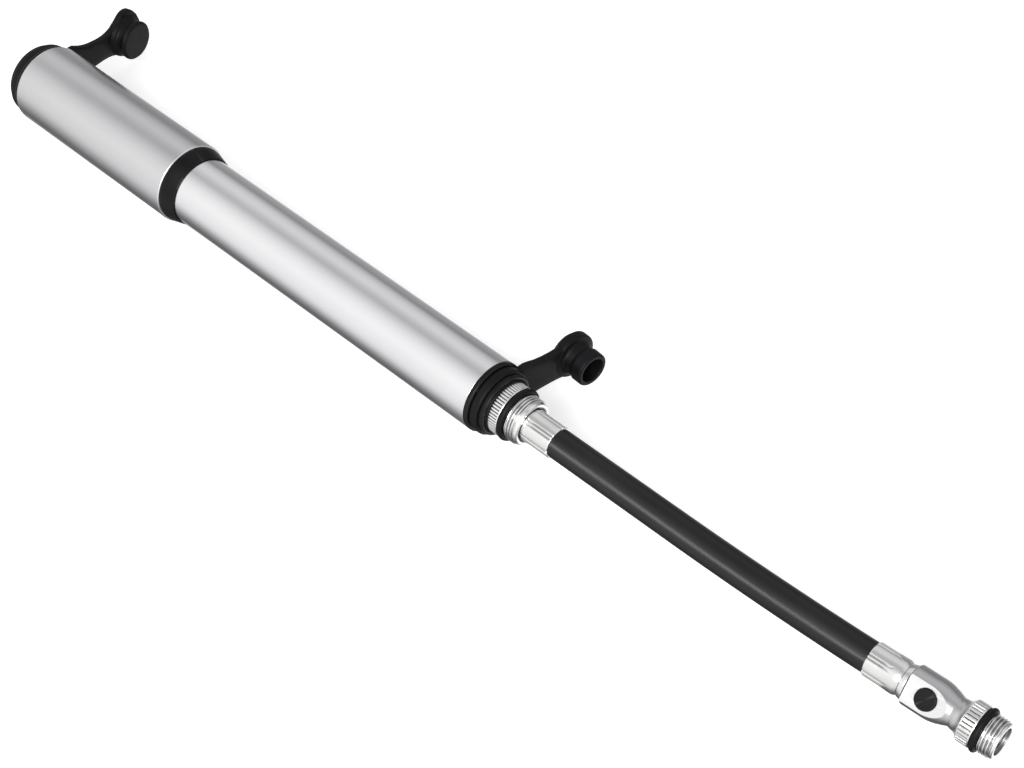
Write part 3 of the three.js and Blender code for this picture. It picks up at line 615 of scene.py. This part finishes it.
def add_handle():
    left, right, radius = span("handle_tube")
    wall = 1.1
    tube = turned("handle", filleted([
        (left, radius, 0.4), (right, radius, 0.4), (right, radius - wall, 0.15),
        (left, radius - wall, 0.2),
    ]), HANDLE_SATIN, "handle", ["handle_tube"])
    chamfer = 0.3  # cut after anodising, so brighter than the skin
    skin = (left + chamfer, right - chamfer)
    dress_faces(tube, RIM, lambda face: not skin[0] <= face.center.x / MM <= skin[1])

    collar_left, collar_right, _ = span("handle_collar")
    inside = radius - wall - 0.03
    rim = radius - 0.35
    barrel_radius = span("barrel_tube")[2]
    nose = barrel_radius + 0.38
    bore = barrel_radius + 0.13
    turned("collar", filleted([
        (collar_left, inside), (right, inside), (right, rim, 0.12), (right + 0.9, rim - 0.05, 0.8),
        (collar_right, nose, 0.18), (collar_right, bore, 0.1), (collar_left, bore, 0.3),
    ]), COMPOSITE, "handle", ["handle_collar"])

    cap_left, cap_right, flange = span("handle_end_cap")
    flange_end = cap_right - CAP_FLANGE
    groove_end = cap_right - CAP_GROOVE_END
    groove = flange - 1.55
    lip = flange - 1.3
    bore = 6.7
    thread_start = cap_left + 0.6
    thread_depth = 0.35
    turned("end_cap", filleted([
        (cap_right, flange, 0.3), (flange_end, flange, 0.5), (flange_end, groove, 0.1),
        (groove_end, groove, 0.1), (groove_end, lip, 0.2), (cap_left, lip, 0.6),
        (cap_left, bore + thread_depth, 0.3),
    ]) + along(thread_start, cap_right, bore), COMPOSITE, "handle", ["handle_end_cap"],
        relief=only_at(bore, thread(thread_start, cap_right, THREAD_PITCH, thread_depth)))

    shaft_left, shaft_right, shaft = span("plunger_shaft")
    shaft_bore = shaft - 0.9
    turned("plunger", filleted([
        (shaft_left, shaft, 0.2), (shaft_right, shaft, 0.2), (shaft_right, shaft_bore, 0.2),
        (shaft_left, shaft_bore, 0.2),
    ]), POLISHED, "handle", ["plunger_shaft"])


# ---- flip caps

def strap_place(shape, distance):
    """Axes at a distance along a strap's middle line: Y runs on along it, X points to the plug."""
    steps = 24
    length = shape["length"]
    start_lean, end_lean = shape["leans"]
    stretch = clamp(distance / length)
    point = Vector((0, 0, 0))
    for step in range(steps):
        lean = math.radians(start_lean + (end_lean - start_lean) * stretch * (step + 0.5) / steps)
        point += Vector((-math.sin(lean), math.cos(lean), 0)) * stretch * length / steps
    lean = math.radians(start_lean + (end_lean - start_lean) * stretch)
    beyond = distance - stretch * length
    point += Vector((-math.sin(lean), math.cos(lean), 0)) * beyond
    return Matrix.Translation(point * MM) @ Matrix.Rotation(lean, 4, "Z")


def lofted_strap(name, shape, place):
    """A flat strap from (distance, half width) stations, with soft edges."""
    sides = 48
    power = 0.4  # of a superellipse: 1 would be an ellipse, 0 a rectangle
    half_thickness = 1.2
    vertices, rings = [], []
    for distance, half_width in shape["strap"]:
        here = place @ strap_place(shape, distance)
        rings.append(range(len(vertices), len(vertices) + sides))
        for side in range(sides):
            angle = 2 * math.pi * side / sides
            c, s = math.cos(angle), math.sin(angle)
            x = half_thickness * math.copysign(abs(c) ** power, c)
            z = half_width * math.copysign(abs(s) ** power, s)
            vertices.append(here @ (Vector((x, 0, z)) * MM))
    mesh = mesh_of(name, vertices, bands(rings) + [rings[0], rings[-1]])
    finish_mesh(mesh, 60)
    return new_object(name, mesh)


def apply_modifier(piece, modifier):
    bpy.context.view_layer.objects.active = piece
    bpy.ops.object.modifier_apply(modifier=modifier.name)


def moulded(name, parts, voxel, smoothing):
    """One rubber moulding from overlapping closed parts: remeshed together, then smoothed."""
    bpy.ops.object.select_all(action="DESELECT")
    for part in parts:
        part.select_set(True)
    bpy.context.view_layer.objects.active = parts[0]
    bpy.ops.object.join()
    whole = parts[0]
    whole.name = whole.data.name = name
    whole.data.remesh_voxel_size = voxel * MM
    bpy.ops.object.voxel_remesh()
    soften = whole.modifiers.new("soften", "SMOOTH")
    soften.factor = 0.5
    soften.iterations = smoothing
    apply_modifier(whole, soften)
    whole.data.shade_smooth()
    whole.select_set(False)
    return whole


def store_rest(piece):
    """Keeps every vertex's place at rest, so that patterns stay put when the piece bends."""
    mesh = piece.data
    rest = mesh.attributes.new("rest_place", "FLOAT_VECTOR", "POINT")
    flat = [number for vertex in mesh.vertices for number in vertex.co]
    rest.data.foreach_set("vector", flat)


def add_flip_cap(name, hinge_joint, loop_node, strap_node, shape):
    """Loop, strap, head and plug as one moulding."""
    around = Matrix.Rotation(math.radians(shape["around"]), 4, "X")
    place = PUMP_PLACE @ around @ Matrix.Translation(joint_point(hinge_joint) * MM)
    loop_left, loop_right, loop_outer = span(loop_node)
    loop_wall = 1.05
    loop_inner = loop_outer - loop_wall
    loop = turned_mesh(name + "_loop", filleted([
        (loop_left, loop_inner, 0.2), (loop_left, loop_outer, 0.5), (loop_right, loop_outer, 0.5),
        (loop_right, loop_inner, 0.2),
    ]), SMALL_ROUND)
    loop.transform(PUMP_PLACE)
    finish_mesh(loop, 60)

    strap = lofted_strap(name + "_strap", shape, place)
    head = turned_mesh(name + "_head", filleted(shape["head"], closed=False), SMALL_ROUND)
    head.transform(place @ strap_place(shape, shape["length"]))
    finish_mesh(head, 60)
    parts = [new_object(name + "_loop", loop), strap, new_object(name + "_head", head)]
    piece = moulded(name, parts, voxel=0.16, smoothing=4)
    store_rest(piece)
    dress(piece, *BENT_RUBBER, stands_for=[loop_node, strap_node])
    bend_start, bend_end = -1.6, 2.6
    root = place @ strap_place(shape, bend_start)
    tip = place @ strap_place(shape, bend_end)
    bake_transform(piece)


# Shapes of the flip caps, in mm and degrees. length runs from the hinge line to the plug's axis;
# leans are the strap's angles from upright at its root and at its head; around turns the cap
# about the pump's axis; strap holds (distance, half width) stations; head is an outline about
# the plug's axis, from the strap's back.
PORT_CAP_SHAPE = {
    "length": 13.5,
    "around": 0,
    "leans": (-12, -5),
    "strap": [
        (-3.2, 4.9), (-2.2, 5.35), (-1.2, 5.5), (-0.2, 5.4), (0.8, 5.15), (2, 4.9), (4, 4.7),
        (6.5, 4.65), (8.5, 4.8), (10.5, 5.1), (12.5, 5.2), (14, 4.6), (15.5, 3),
    ],
    "head": [
        (-2.2, 0), (-2.2, 5.1, 0.35), (-1.35, 5.3, 0.15), (-1.35, 6.1, 0.5), (1.1, 6.1, 0.6),
        (1.5, 4.5, 0.8), (3.6, 4.1, 0.6), (4.5, 4.55, 0.4), (7.2, 4.5, 0.45), (7.5, 4.15, 0.3),
        (7.5, 3.25, 0.3), (3.0, 3.1, 0.4), (3.0, 0),
    ],
}

HANDLE_CAP_SHAPE = {
    "length": 17.2,
    "around": -2,
    "leans": (0, 11.4),
    "strap": [
        (-3.4, 5.2), (-2.4, 5.9), (-1.2, 6.0), (0, 5.4), (1.2, 4.8), (2.5, 4.35), (4, 4.0),
        (6, 3.75), (8, 3.6), (10, 3.65), (11.5, 3.95), (13, 4.5), (14.2, 5.2), (15.4, 6.2),
        (16.6, 7.1), (17.8, 7.6), (19.2, 7.6), (20.6, 7.0), (22, 5.8), (23, 4.3), (23.7, 2.2),
    ],
    "head": [
        (-1.4, 0), (-1.4, 5.4, 0.4), (-0.6, 5.9, 0.3), (0.6, 6.1), (1.6, 6.0, 0.6), (2.3, 5.2, 0.9),
        (3.5, 5.1, 0.6), (4.3, 5.6, 0.5), (5.1, 5.7, 0.4), (5.7, 5.1, 0.3), (5.7, 0),
    ],
}


# ---- hose and fittings

def add_fitting():
    left, right, knurl = span("hose_fitting")
    knurl_left, knurl_right = 5.5, 8.55
    crest = 6.2
    seal_floor = 5.65
    thread_left = 10.05
    thread_right = right - 0.8
    socket = 4.75
    socket_floor = right - 2.6
    passage = 1.6
    teeth = 54
    stem = crest - 0.1
    outline = [(left, passage), (left, crest - 0.5), (left + 0.6, stem), (knurl_left, stem)]
    outline += [(knurl_left, knurl - 0.45), (knurl_left + 0.12, knurl - 0.15)]
    outline += along(knurl_left + 0.25, knurl_right - 0.45, knurl)
    outline += knurl_edge(knurl_right, knurl)
    outline += [(knurl_right, seal_floor), (thread_left, seal_floor)]
    outline += along(thread_left, thread_right, crest, THREAD_STEP)
    outline += filleted([(thread_right, crest - 0.35), (right, crest - 0.55, 0.35),
                         (right, socket, 0.3), (socket_floor, socket)], closed=False)
    outline += [(socket_floor, passage)]
    relief = add_relief(flutes(knurl_left + 0.1, knurl_right - 0.4, teeth, 0.38, 5),
                        thread(thread_left, thread_right, THREAD_PITCH, 0.42))
    turned("fitting", outline, BRIGHT, "hose_root", ["hose_fitting"], sides=teeth * 6,
           relief=only_outside(crest - 0.2, relief))

    seal_middle = (knurl_right + thread_left) / 2
    ring_seal("fitting_seal", seal_middle, seal_floor, span("fitting_oring")[2], "hose_root",
              "fitting_oring")


FERRULE_PANELS = 6
FIRST_PANEL = math.radians(95)  # direction of the first panel, from +Y towards +Z


def add_ferrule(name, node, body, place, closed_at_left):
    """A pressed ferrule whose closed end holds the barb and whose open end grips the hose."""
    left, right, radius = span(node, place)
    inner = span("hose_length_2")[2] - 0.35
    closed_end, open_end = (left, right) if closed_at_left else (right, left)
    toward = 1 if closed_at_left else -1
    barb_hole = 1.6
    floor = closed_end + 0.9 * toward
    outer = filleted([(closed_end, barb_hole), (closed_end, radius - 0.4, 0.3),
                      (closed_end + 1.0 * toward, radius, 0.9),
                      (closed_end + 2.2 * toward, radius)], closed=False)
    outer += along(closed_end + 2.3 * toward, open_end - 0.35 * toward, radius, 0.08)
    outer += [(open_end - 0.12 * toward, radius - 0.05), (open_end, radius - 0.2),
              (open_end, inner), (floor, inner), (floor, barb_hole)]
    relief = crimp(closed_end + 1.7 * toward, open_end, radius, FERRULE_PANELS, FIRST_PANEL, 0.34)
    turned(name, outer, POLISHED, body, [node], place, sides=480, relief=relief, sharp_degrees=100)


def hose_curve():
    """Where the relaxed hose starts to curve, where the ferrule ends the curve, and its slope."""
    axis = joints["chuck_swivel"]["axis"]
    slope = math.atan2(axis[1], axis[0])
    end = span("ferrule_b", END_PLACE)[0]
    bend = joint_point("chuck_swivel")
    start = 2 * (bend.x - bend.y / math.tan(slope)) - end
    return start, end, slope


CURVE_START, CURVE_END, END_SLOPE = hose_curve()


def hose_centre(x):
    """(y, slope) of the relaxed hose's centre line: straight, then one even curve."""
    length = CURVE_END - CURVE_START
    rise = math.tan(END_SLOPE) / (2 * length)
    if x <= CURVE_START:
        return 0.0, 0.0
    if x >= CURVE_END:
        return rise * length ** 2 + (x - CURVE_END) * math.tan(END_SLOPE), END_SLOPE
    return rise * (x - CURVE_START) ** 2, math.atan(2 * rise * (x - CURVE_START))


def add_hose_piece(name, left, right, stands_for):
    """One stretch of the hose, along its relaxed centre line."""
    bore = 2.0
    step = 0.8
    sides = SMALL_ROUND
    vertices, rings = [], []
    skin = along(left, right, span("hose_length_2")[2], step)
    bore_wall = [(x, bore) for x, _ in reversed(skin)]
    for x, r in skin + bore_wall:
        y, slope = hose_centre(x)
        rings.append(range(len(vertices), len(vertices) + sides))
        for side in range(sides):
            angle = 2 * math.pi * side / sides
            across = r * math.cos(angle)
            vertices.append(((x - across * math.sin(slope)) * MM,
                             (y + across * math.cos(slope)) * MM, r * math.sin(angle) * MM))
    mesh = mesh_of(name, vertices, bands(rings, closed=True))
    mesh.transform(PUMP_PLACE)
    finish_mesh(mesh, 40)
    piece = new_object(name, mesh)
    store_rest(piece)
    dress(piece, *HOSE, stands_for=stands_for)
    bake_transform(piece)


def add_hose():
    crimp_left = span("ferrule_a")[1]
    crimp_right = span("ferrule_b", END_PLACE)[0]
    first = joint_point("hose_bend").x
    second = joint_point("hose_bend_middle").x
    seam_a = (first + second) / 2
    seam_b = second + BEND_SPACING / 2
    inside = 3.0  # length of hose inside each ferrule
    add_hose_piece("hose_near", crimp_left - inside, seam_a,
                   ["hose_length_1", "hose_length_2"])
    add_hose_piece("hose_middle", seam_a, seam_b, ["hose_length_3"])
    add_hose_piece("hose_far", seam_b, crimp_right + inside, ["hose_length_4"])


# ---- chuck

# Radii and stations are in mm, in the chuck's axis frame END_PLACE.
CHUCK_RADIUS = 4.95
CHUCK_NECK = 3.8
CHUCK_KNURL_LEFT, CHUCK_KNURL_RIGHT = 138.2, 141.6
NOSE_START = 129.0  # where the body starts to round off, on the pad's side
PAD_ANGLE = math.radians(145)  # direction that the flat pad faces, from +Y towards +Z
PAD_OUTWARD = Vector((0, math.cos(PAD_ANGLE), math.sin(PAD_ANGLE)))
PAD_HEIGHT = 3.6  # from the axis
PAD_HALF_WIDTH = 3.9
PAD_END = 134.4


def chuck_radius(x, angle):
    """Body with a rounded nose, flowing into the neck; tighter on the pad's side."""
    away = (1 - math.cos(angle_apart(angle, PAD_ANGLE))) / 2  # 0 at the pad, 1 opposite
    nose_start = NOSE_START + 2.0 * away
    nose_end_share = math.sqrt(1 - (PAD_HEIGHT / CHUCK_RADIUS) ** 2)
    nose_reach = (PAD_END - NOSE_START) / nose_end_share - 1.6 * away
    share = clamp((x - nose_start) / nose_reach)
    block = CHUCK_RADIUS * math.sqrt(1 - share * share)
    waist = CHUCK_KNURL_LEFT - 1.6
    flare = clamp((x - waist) / (CHUCK_KNURL_LEFT - waist))
    valley = 0.4 * math.exp(-((x - PAD_END - 0.9) / 0.8) ** 2) * (1 - away)
    stem = CHUCK_NECK + flare * flare - valley
    return smooth_max(block, stem, 0.25 + 0.9 * away)


def pad_cutter():
    """The block cut away above the flat pad, in the chuck's axis frame."""
    side = PAD_OUTWARD.cross(FORWARD)
    left = span("chuck_body", END_PLACE)[0] - 1
    top = CHUCK_RADIUS + 1
    steps = 48
    arc = [(PAD_END - PAD_HALF_WIDTH + PAD_HALF_WIDTH * math.sin(a), -PAD_HALF_WIDTH * math.cos(a))
           for a in (math.pi * i / steps for i in range(steps + 1))]
    rim = [(left, -PAD_HALF_WIDTH)] + arc + [(left, PAD_HALF_WIDTH)]
    vertices = []
    for height in (PAD_HEIGHT, top):
        for x, across in rim:
            vertices.append((FORWARD * x + PAD_OUTWARD * height + side * across) * MM)
    rings = [range(len(rim)), range(len(rim), 2 * len(rim))]
    mesh = mesh_of("pad_cutter", vertices, rings + bands(rings))
    finish_mesh(mesh, 30)
    return new_object("pad_cutter", mesh, END_PLACE)


def stand_on_pad(mesh, x):
    """Turns a mesh built about +X, with height as x, to stand out of the pad at a station."""
    basis = Matrix((PAD_OUTWARD, FORWARD, PAD_OUTWARD.cross(FORWARD))).transposed().to_4x4()
    mesh.transform(Matrix.Translation((x * MM, 0, 0)) @ basis)


def well_cutter(button_x, button_radius):
    """The round hole in the pad that the bleed button moves in."""
    radius = button_radius + 0.14
    floor, top = 1.5, PAD_HEIGHT + 2
    outline = [(floor, 0), (floor, radius), (top, radius), (top, 0)]
    mesh = turned_mesh("well_cutter", outline, SMALL_ROUND)
    stand_on_pad(mesh, button_x)
    finish_mesh(mesh, 30)
    return new_object("well_cutter", mesh, END_PLACE)


def cut_with(piece, cutter):
    """Cuts the cutter out of the piece and deletes the cutter."""
    modifier = piece.modifiers.new("cut", "BOOLEAN")
    modifier.operation = "DIFFERENCE"
    modifier.solver = "EXACT"
    modifier.object = cutter
    apply_modifier(piece, modifier)
    bpy.data.objects.remove(cutter)


def on_pad(face):
    height = face.center.dot(PAD_OUTWARD) / MM
    return abs(height - PAD_HEIGHT) < 0.01 and face.normal.dot(PAD_OUTWARD) > 0.99


def add_chuck_body(button_x, button_radius):
    """Body with its flat pad and button well."""
    left = span("chuck_body", END_PLACE)[0]
    passage = 1.0
    outline = [(left, passage), (left, CHUCK_RADIUS - 0.4), (left + 0.08, CHUCK_RADIUS - 0.18),
               (left + 0.22, CHUCK_RADIUS - 0.05), (left + 0.4, CHUCK_RADIUS)]
    outline += along(left + 0.6, CHUCK_KNURL_LEFT + 0.2, CHUCK_RADIUS, 0.16)
    outline += [(CHUCK_KNURL_LEFT + 0.2, passage)]

    def shape(x, angle, _radius):
        return chuck_radius(x, angle) - CHUCK_RADIUS

    mesh = turned_mesh("chuck", outline, 192, only_outside(CHUCK_RADIUS - 1e-6, shape))
    finish_mesh(mesh, 40)
    chuck = new_object("chuck", mesh, END_PLACE)
    cut_with(chuck, pad_cutter())
    cut_with(chuck, well_cutter(button_x, button_radius))
    chuck.data.shade_smooth()
    chuck.data.set_sharp_from_angle(angle=math.radians(28))
    dress(chuck, *CHUCK_SATIN, "chuck")
    dress_faces(chuck, PAD, on_pad)


def add_chuck_nose():
    """Knurled collar, seal groove, thread and open mouth."""
    right = span("chuck_body", END_PLACE)[1]
    teeth = 32
    knurl = 5.1
    crest = 4.7
    seal_floor = 3.9
    mouth = 3.3
    mouth_floor = CHUCK_KNURL_LEFT + 1.2
    inside = CHUCK_NECK - 0.8
    shoulder = CHUCK_KNURL_LEFT - 0.1
    thread_left, thread_right = 143.2, right - 0.5
    outline = [(shoulder, inside), (shoulder, CHUCK_NECK + 0.75),
               (CHUCK_KNURL_LEFT + 0.12, knurl - 0.3)]
    outline += along(CHUCK_KNURL_LEFT + 0.3, CHUCK_KNURL_RIGHT - 0.45, knurl)
    outline += knurl_edge(CHUCK_KNURL_RIGHT, knurl)
    outline += [(CHUCK_KNURL_RIGHT, seal_floor), (thread_left, seal_floor)]
    outline += along(thread_left, thread_right, crest, THREAD_STEP)
    outline += filleted([(thread_right, crest - 0.3), (right, crest - 0.5, 0.3),
                         (right, mouth, 0.25), (mouth_floor, mouth)], closed=False)
    outline += [(mouth_floor, inside)]
    relief = add_relief(flutes(CHUCK_KNURL_LEFT + 0.2, CHUCK_KNURL_RIGHT - 0.4, teeth, 0.34, 4.5),
                        thread(thread_left, thread_right, THREAD_PITCH, 0.4))
    nose = turned("chuck_nose", outline, BRIGHT, "chuck", ["chuck_body"], END_PLACE,
                  sides=teeth * 8, relief=only_outside(crest - 0.2, relief))
    # The mouth's inner wall takes the dark insert look: painted shade inside the mouth.
    dress_faces(nose, SHADED_INSERT,
                lambda face: math.hypot(face.center.y, face.center.z) / MM < mouth + 0.05)

    seal_left, seal_right, _ = span("chuck_oring", END_PLACE)
    ring_seal("chuck_seal", (seal_left + seal_right) / 2, seal_floor + 0.02, 5.4, "chuck",
              "chuck_oring", END_PLACE)


def add_chuck_inside():
    """Gasket and threaded insert that hold a valve."""
    left, right, radius = span("valve_gasket", END_PLACE)
    hole = 1.3
    turned("gasket", filleted([
        (left, radius), (right, radius, 0.2), (right, hole, 0.4), (left, hole),
    ]), RUBBER, "chuck", ["valve_gasket"], END_PLACE, SMALL_ROUND)

    left, right, radius = span("valve_insert", END_PLACE)
    crest = 2.75
    depth = 0.3
    valve_thread = thread(left, right, 0.6, depth)
    outline = filleted([(left, radius), (right, radius, 0.15)], closed=False)
    outline += [(right, crest + 0.1)] + along(right - 0.25, left, crest, THREAD_STEP)
    turned("insert", outline, SHADED_INSERT, "chuck", ["valve_insert"], END_PLACE, SMALL_ROUND,
           relief=only_at(crest, lambda x, angle, r: depth + valve_thread(x, angle, r)))


def add_button(button_x, button_radius):
    """Bleed button: a flat disc with a soft edge."""
    foot, top = 2.6, PAD_HEIGHT + 0.9
    mesh = turned_mesh("button", filleted([
        (foot, 0), (foot, button_radius, 0.2), (top, button_radius, 0.3), (top, 0),
    ], closed=False), SMALL_ROUND)
    stand_on_pad(mesh, button_x)
    finish_mesh(mesh, 50)
    dress(new_object("button", mesh, END_PLACE), *BUTTON, "bleed_button", ["bleed_button"])


def add_chuck():
    button_left, button_right, _ = span("bleed_button", END_PLACE)
    button_x = (button_left + button_right) / 2
    button_radius = (button_right - button_left) / 2
    add_chuck_body(button_x, button_radius)
    add_chuck_nose()
    add_chuck_inside()
    add_button(button_x, button_radius)


def add_swivel_ring():
    left, right, radius = span("swivel_ring", END_PLACE)
    rim = max(radius, 4.4)
    hole = 1.65
    turned("swivel", filleted([
        (left, rim - 0.3, 0.2), (right, rim, 0.25), (right, hole), (left, hole),
    ]), POLISHED, "hose_d", ["swivel_ring"], END_PLACE)


# ---- CAD nodes that stay

HIDDEN_LOOKS = [
    (RUBBER, ["gland_seal", "port_cap_oring", "check_poppet", "piston_seal", "stroke_bumper"]),
    (BRASS, ["check_retainer", "hose_barb_a", "hose_barb_b"]),
    (STEEL, ["check_spring", "bleed_spring", "anchor_set_screw"]),
    (SATIN, ["shaft_anchor"]), (BRIGHT, ["piston_head"]), (COMPOSITE, ["piston_guide_ring"]),
]


def dress_hidden_nodes():
    for look, nodes in HIDDEN_LOOKS:
        for node in nodes:
            mesh = frame["nodes"][node].data
            mesh.materials.clear()
            mesh.materials.append(look[0])


# ---- floor, light and camera

# Brightness of the studio by direction round the pump's axis, in degrees from +Y over the top:
# a broad softbox fills the -Y side, and a dimmer one hangs over the +Y side between two darker
# gaps. Reflections don't see the floor, so the studio goes on below the horizon: dark straight
# below, with a bright band low on the +Y side.
STUDIO = [
    (-180, 1.0), (-163, 0.95), (-150, 0.84), (-138, 0.6), (-126, 0.32), (-112, 0.18),
    (-98, 0.12), (-88, 0.1), (-76, 0.55), (-60, 1.3), (-44, 1.25), (-30, 0.62), (-16, 0.36),
    (0, 0.37), (18, 0.22), (30, 0.54), (44, 0.71), (64, 0.76), (78, 0.6), (90, 0.47),
    (102, 0.68), (118, 0.88), (134, 1.0), (155, 1.08), (172, 1.03), (180, 1.0),
]
AXIS_LIGHT = 0.8  # brightness seen along the pump's axis
COOLING = 0.035  # extra blue where the studio is dark


def add_studio_world():
    """A studio that lights the pump by direction, with a plain white backdrop for the camera."""
    world = bpy.data.worlds.new("studio")
    bpy.context.scene.world = world
    nodes = NodeTree(world)

    split = nodes.add("ShaderNodeSeparateXYZ")
    nodes.link(nodes.add("ShaderNodeTexCoord").outputs["Generated"], split.inputs[0])
    angle = nodes.math("ARCTAN2", split.outputs["Z"], split.outputs["Y"])
    ramp = nodes.add("ShaderNodeValToRGB")
    ramp.color_ramp.interpolation = "EASE"
    brightest = max(value for _, value in STUDIO)
    stops = ramp.color_ramp.elements
    while len(stops) < len(STUDIO):
        stops.new(0.5)
    for stop, (degrees, value) in zip(stops, STUDIO):
        stop.position = (degrees + 180) / 360
        level = value / brightest
        stop.color = (level, level, level * (1 + COOLING * (1 - level)), 1)
    nodes.link(nodes.curve(angle, -math.pi, math.pi), ramp.inputs["Fac"])

    towards_end = nodes.math("ABSOLUTE", split.outputs["X"])
    ends = nodes.curve(towards_end, 0.72, 0.97, kind="SMOOTHSTEP")
    light = nodes.add("ShaderNodeBackground")
    nodes.link(nodes.mix(ends, ramp.outputs["Color"], grey(AXIS_LIGHT / brightest)),
               light.inputs["Color"])
    nodes.link(brightest, light.inputs["Strength"])
    backdrop = nodes.add("ShaderNodeBackground")
    nodes.link(grey(1.0), backdrop.inputs["Color"])

    seen = nodes.add("ShaderNodeMixShader")
    nodes.link(nodes.add("ShaderNodeLightPath").outputs["Is Camera Ray"], seen.inputs["Fac"])
    nodes.link(light.outputs[0], seen.inputs[1])
    nodes.link(backdrop.outputs[0], seen.inputs[2])
    nodes.link(seen.outputs[0], nodes.add("ShaderNodeOutputWorld").inputs["Surface"])


def add_floor():
    """A pale, faintly glowing table that reflections don't see."""
    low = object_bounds()[0]
    size = 3.0
    corners = [(x * size, y * size, low.z) for x, y in ((-1, -1), (1, -1), (1, 1), (-1, 1))]
    mesh = mesh_of("floor", corners, [(0, 1, 2, 3)])
    floor = new_object("floor", mesh)
    floor.visible_glossy = False
    nodes = Nodes("floor")
    nodes.set(Base_Color=nodes.mix(nodes.noise(6), grey(0.9), grey(0.93)), Roughness=0.9)
    nodes.set(Emission_Color=grey(1.0), Emission_Strength=0.42)
    mesh.materials.append(nodes.material)


def add_softbox(name, towards, distance, width, height, power):
    """An area lamp in a direction from the origin, aimed back at it, its width along the pump."""
    light = bpy.data.lights.new(name, "AREA")
    light.shape = "RECTANGLE"
    light.size = width
    light.size_y = height
    light.energy = power
    lamp = new_object(name, light)
    direction = Vector(towards).normalized()
    lamp.location = direction * distance
    lamp.rotation_mode = "QUATERNION"
    across = direction.cross(FORWARD).normalized()
    lengthwise = across.cross(direction)
    lamp.rotation_quaternion = Matrix((lengthwise, across, direction)).transposed().to_quaternion()
    return lamp


def light_only(lamp, names):
    """Lets a lamp light the named pieces and nothing else."""
    lit = bpy.data.collections.new(lamp.name + "_lit")
    for name in names:
        lit.objects.link(bpy.data.objects[name])
    lamp.light_linking.receiver_collection = lit


def add_camera():
    """A long lens, turned 44 degrees from looking along +Y and looking 46 degrees down."""
    azimuth = math.radians(44.13)
    elevation = math.radians(46.08)
    place = Vector((0.257165, -0.257669, 0.381957))  # metres, from the barrel's hose end
    data = bpy.data.cameras.new("camera")
    data.lens = 77.16
    data.sensor_width = 36
    data.clip_start = 0.05
    data.clip_end = 20
    camera = new_object("camera", data)
    level = math.cos(elevation)
    back = Vector((math.sin(azimuth) * level, -math.cos(azimuth) * level, math.sin(elevation)))
    camera.location = PUMP_PLACE @ place
    camera.rotation_mode = "QUATERNION"
    camera.rotation_quaternion = (-back).to_track_quat("-Z", "Y")
    bpy.context.scene.camera = camera


# ---- the whole scene

add_barrel()
add_port_cap()
add_handle()
add_flip_cap("port_flip_cap", "port_cap_flip", "port_cap_loop", "port_cap_strap",
             PORT_CAP_SHAPE)
add_flip_cap("handle_flip_cap", "handle_cap_flip", "handle_cap_loop", "handle_cap_strap",
             HANDLE_CAP_SHAPE)
add_fitting()
add_ferrule("ferrule_pump_end", "ferrule_a", "hose_root", PUMP_PLACE, closed_at_left=True)
add_hose()
add_ferrule("ferrule_chuck_end", "ferrule_b", "hose_d", END_PLACE, closed_at_left=False)
add_swivel_ring()
add_chuck()
dress_hidden_nodes()

add_studio_world()
add_floor()
add_softbox("key", (0.38, -0.72, 0.58), 1.0, 0.7, 0.5, 9.0)
# The strip makes the hose's long highlight; the tubes would mirror it, so it lights the hose only.
strip = add_softbox("strip", (-0.483, -0.828, 0.285), 1.1, 1.9, 0.3, 12.0)
light_only(strip, ["hose_near", "hose_middle", "hose_far"])
add_camera()
bpy.context.scene.view_settings.view_transform = "Standard"
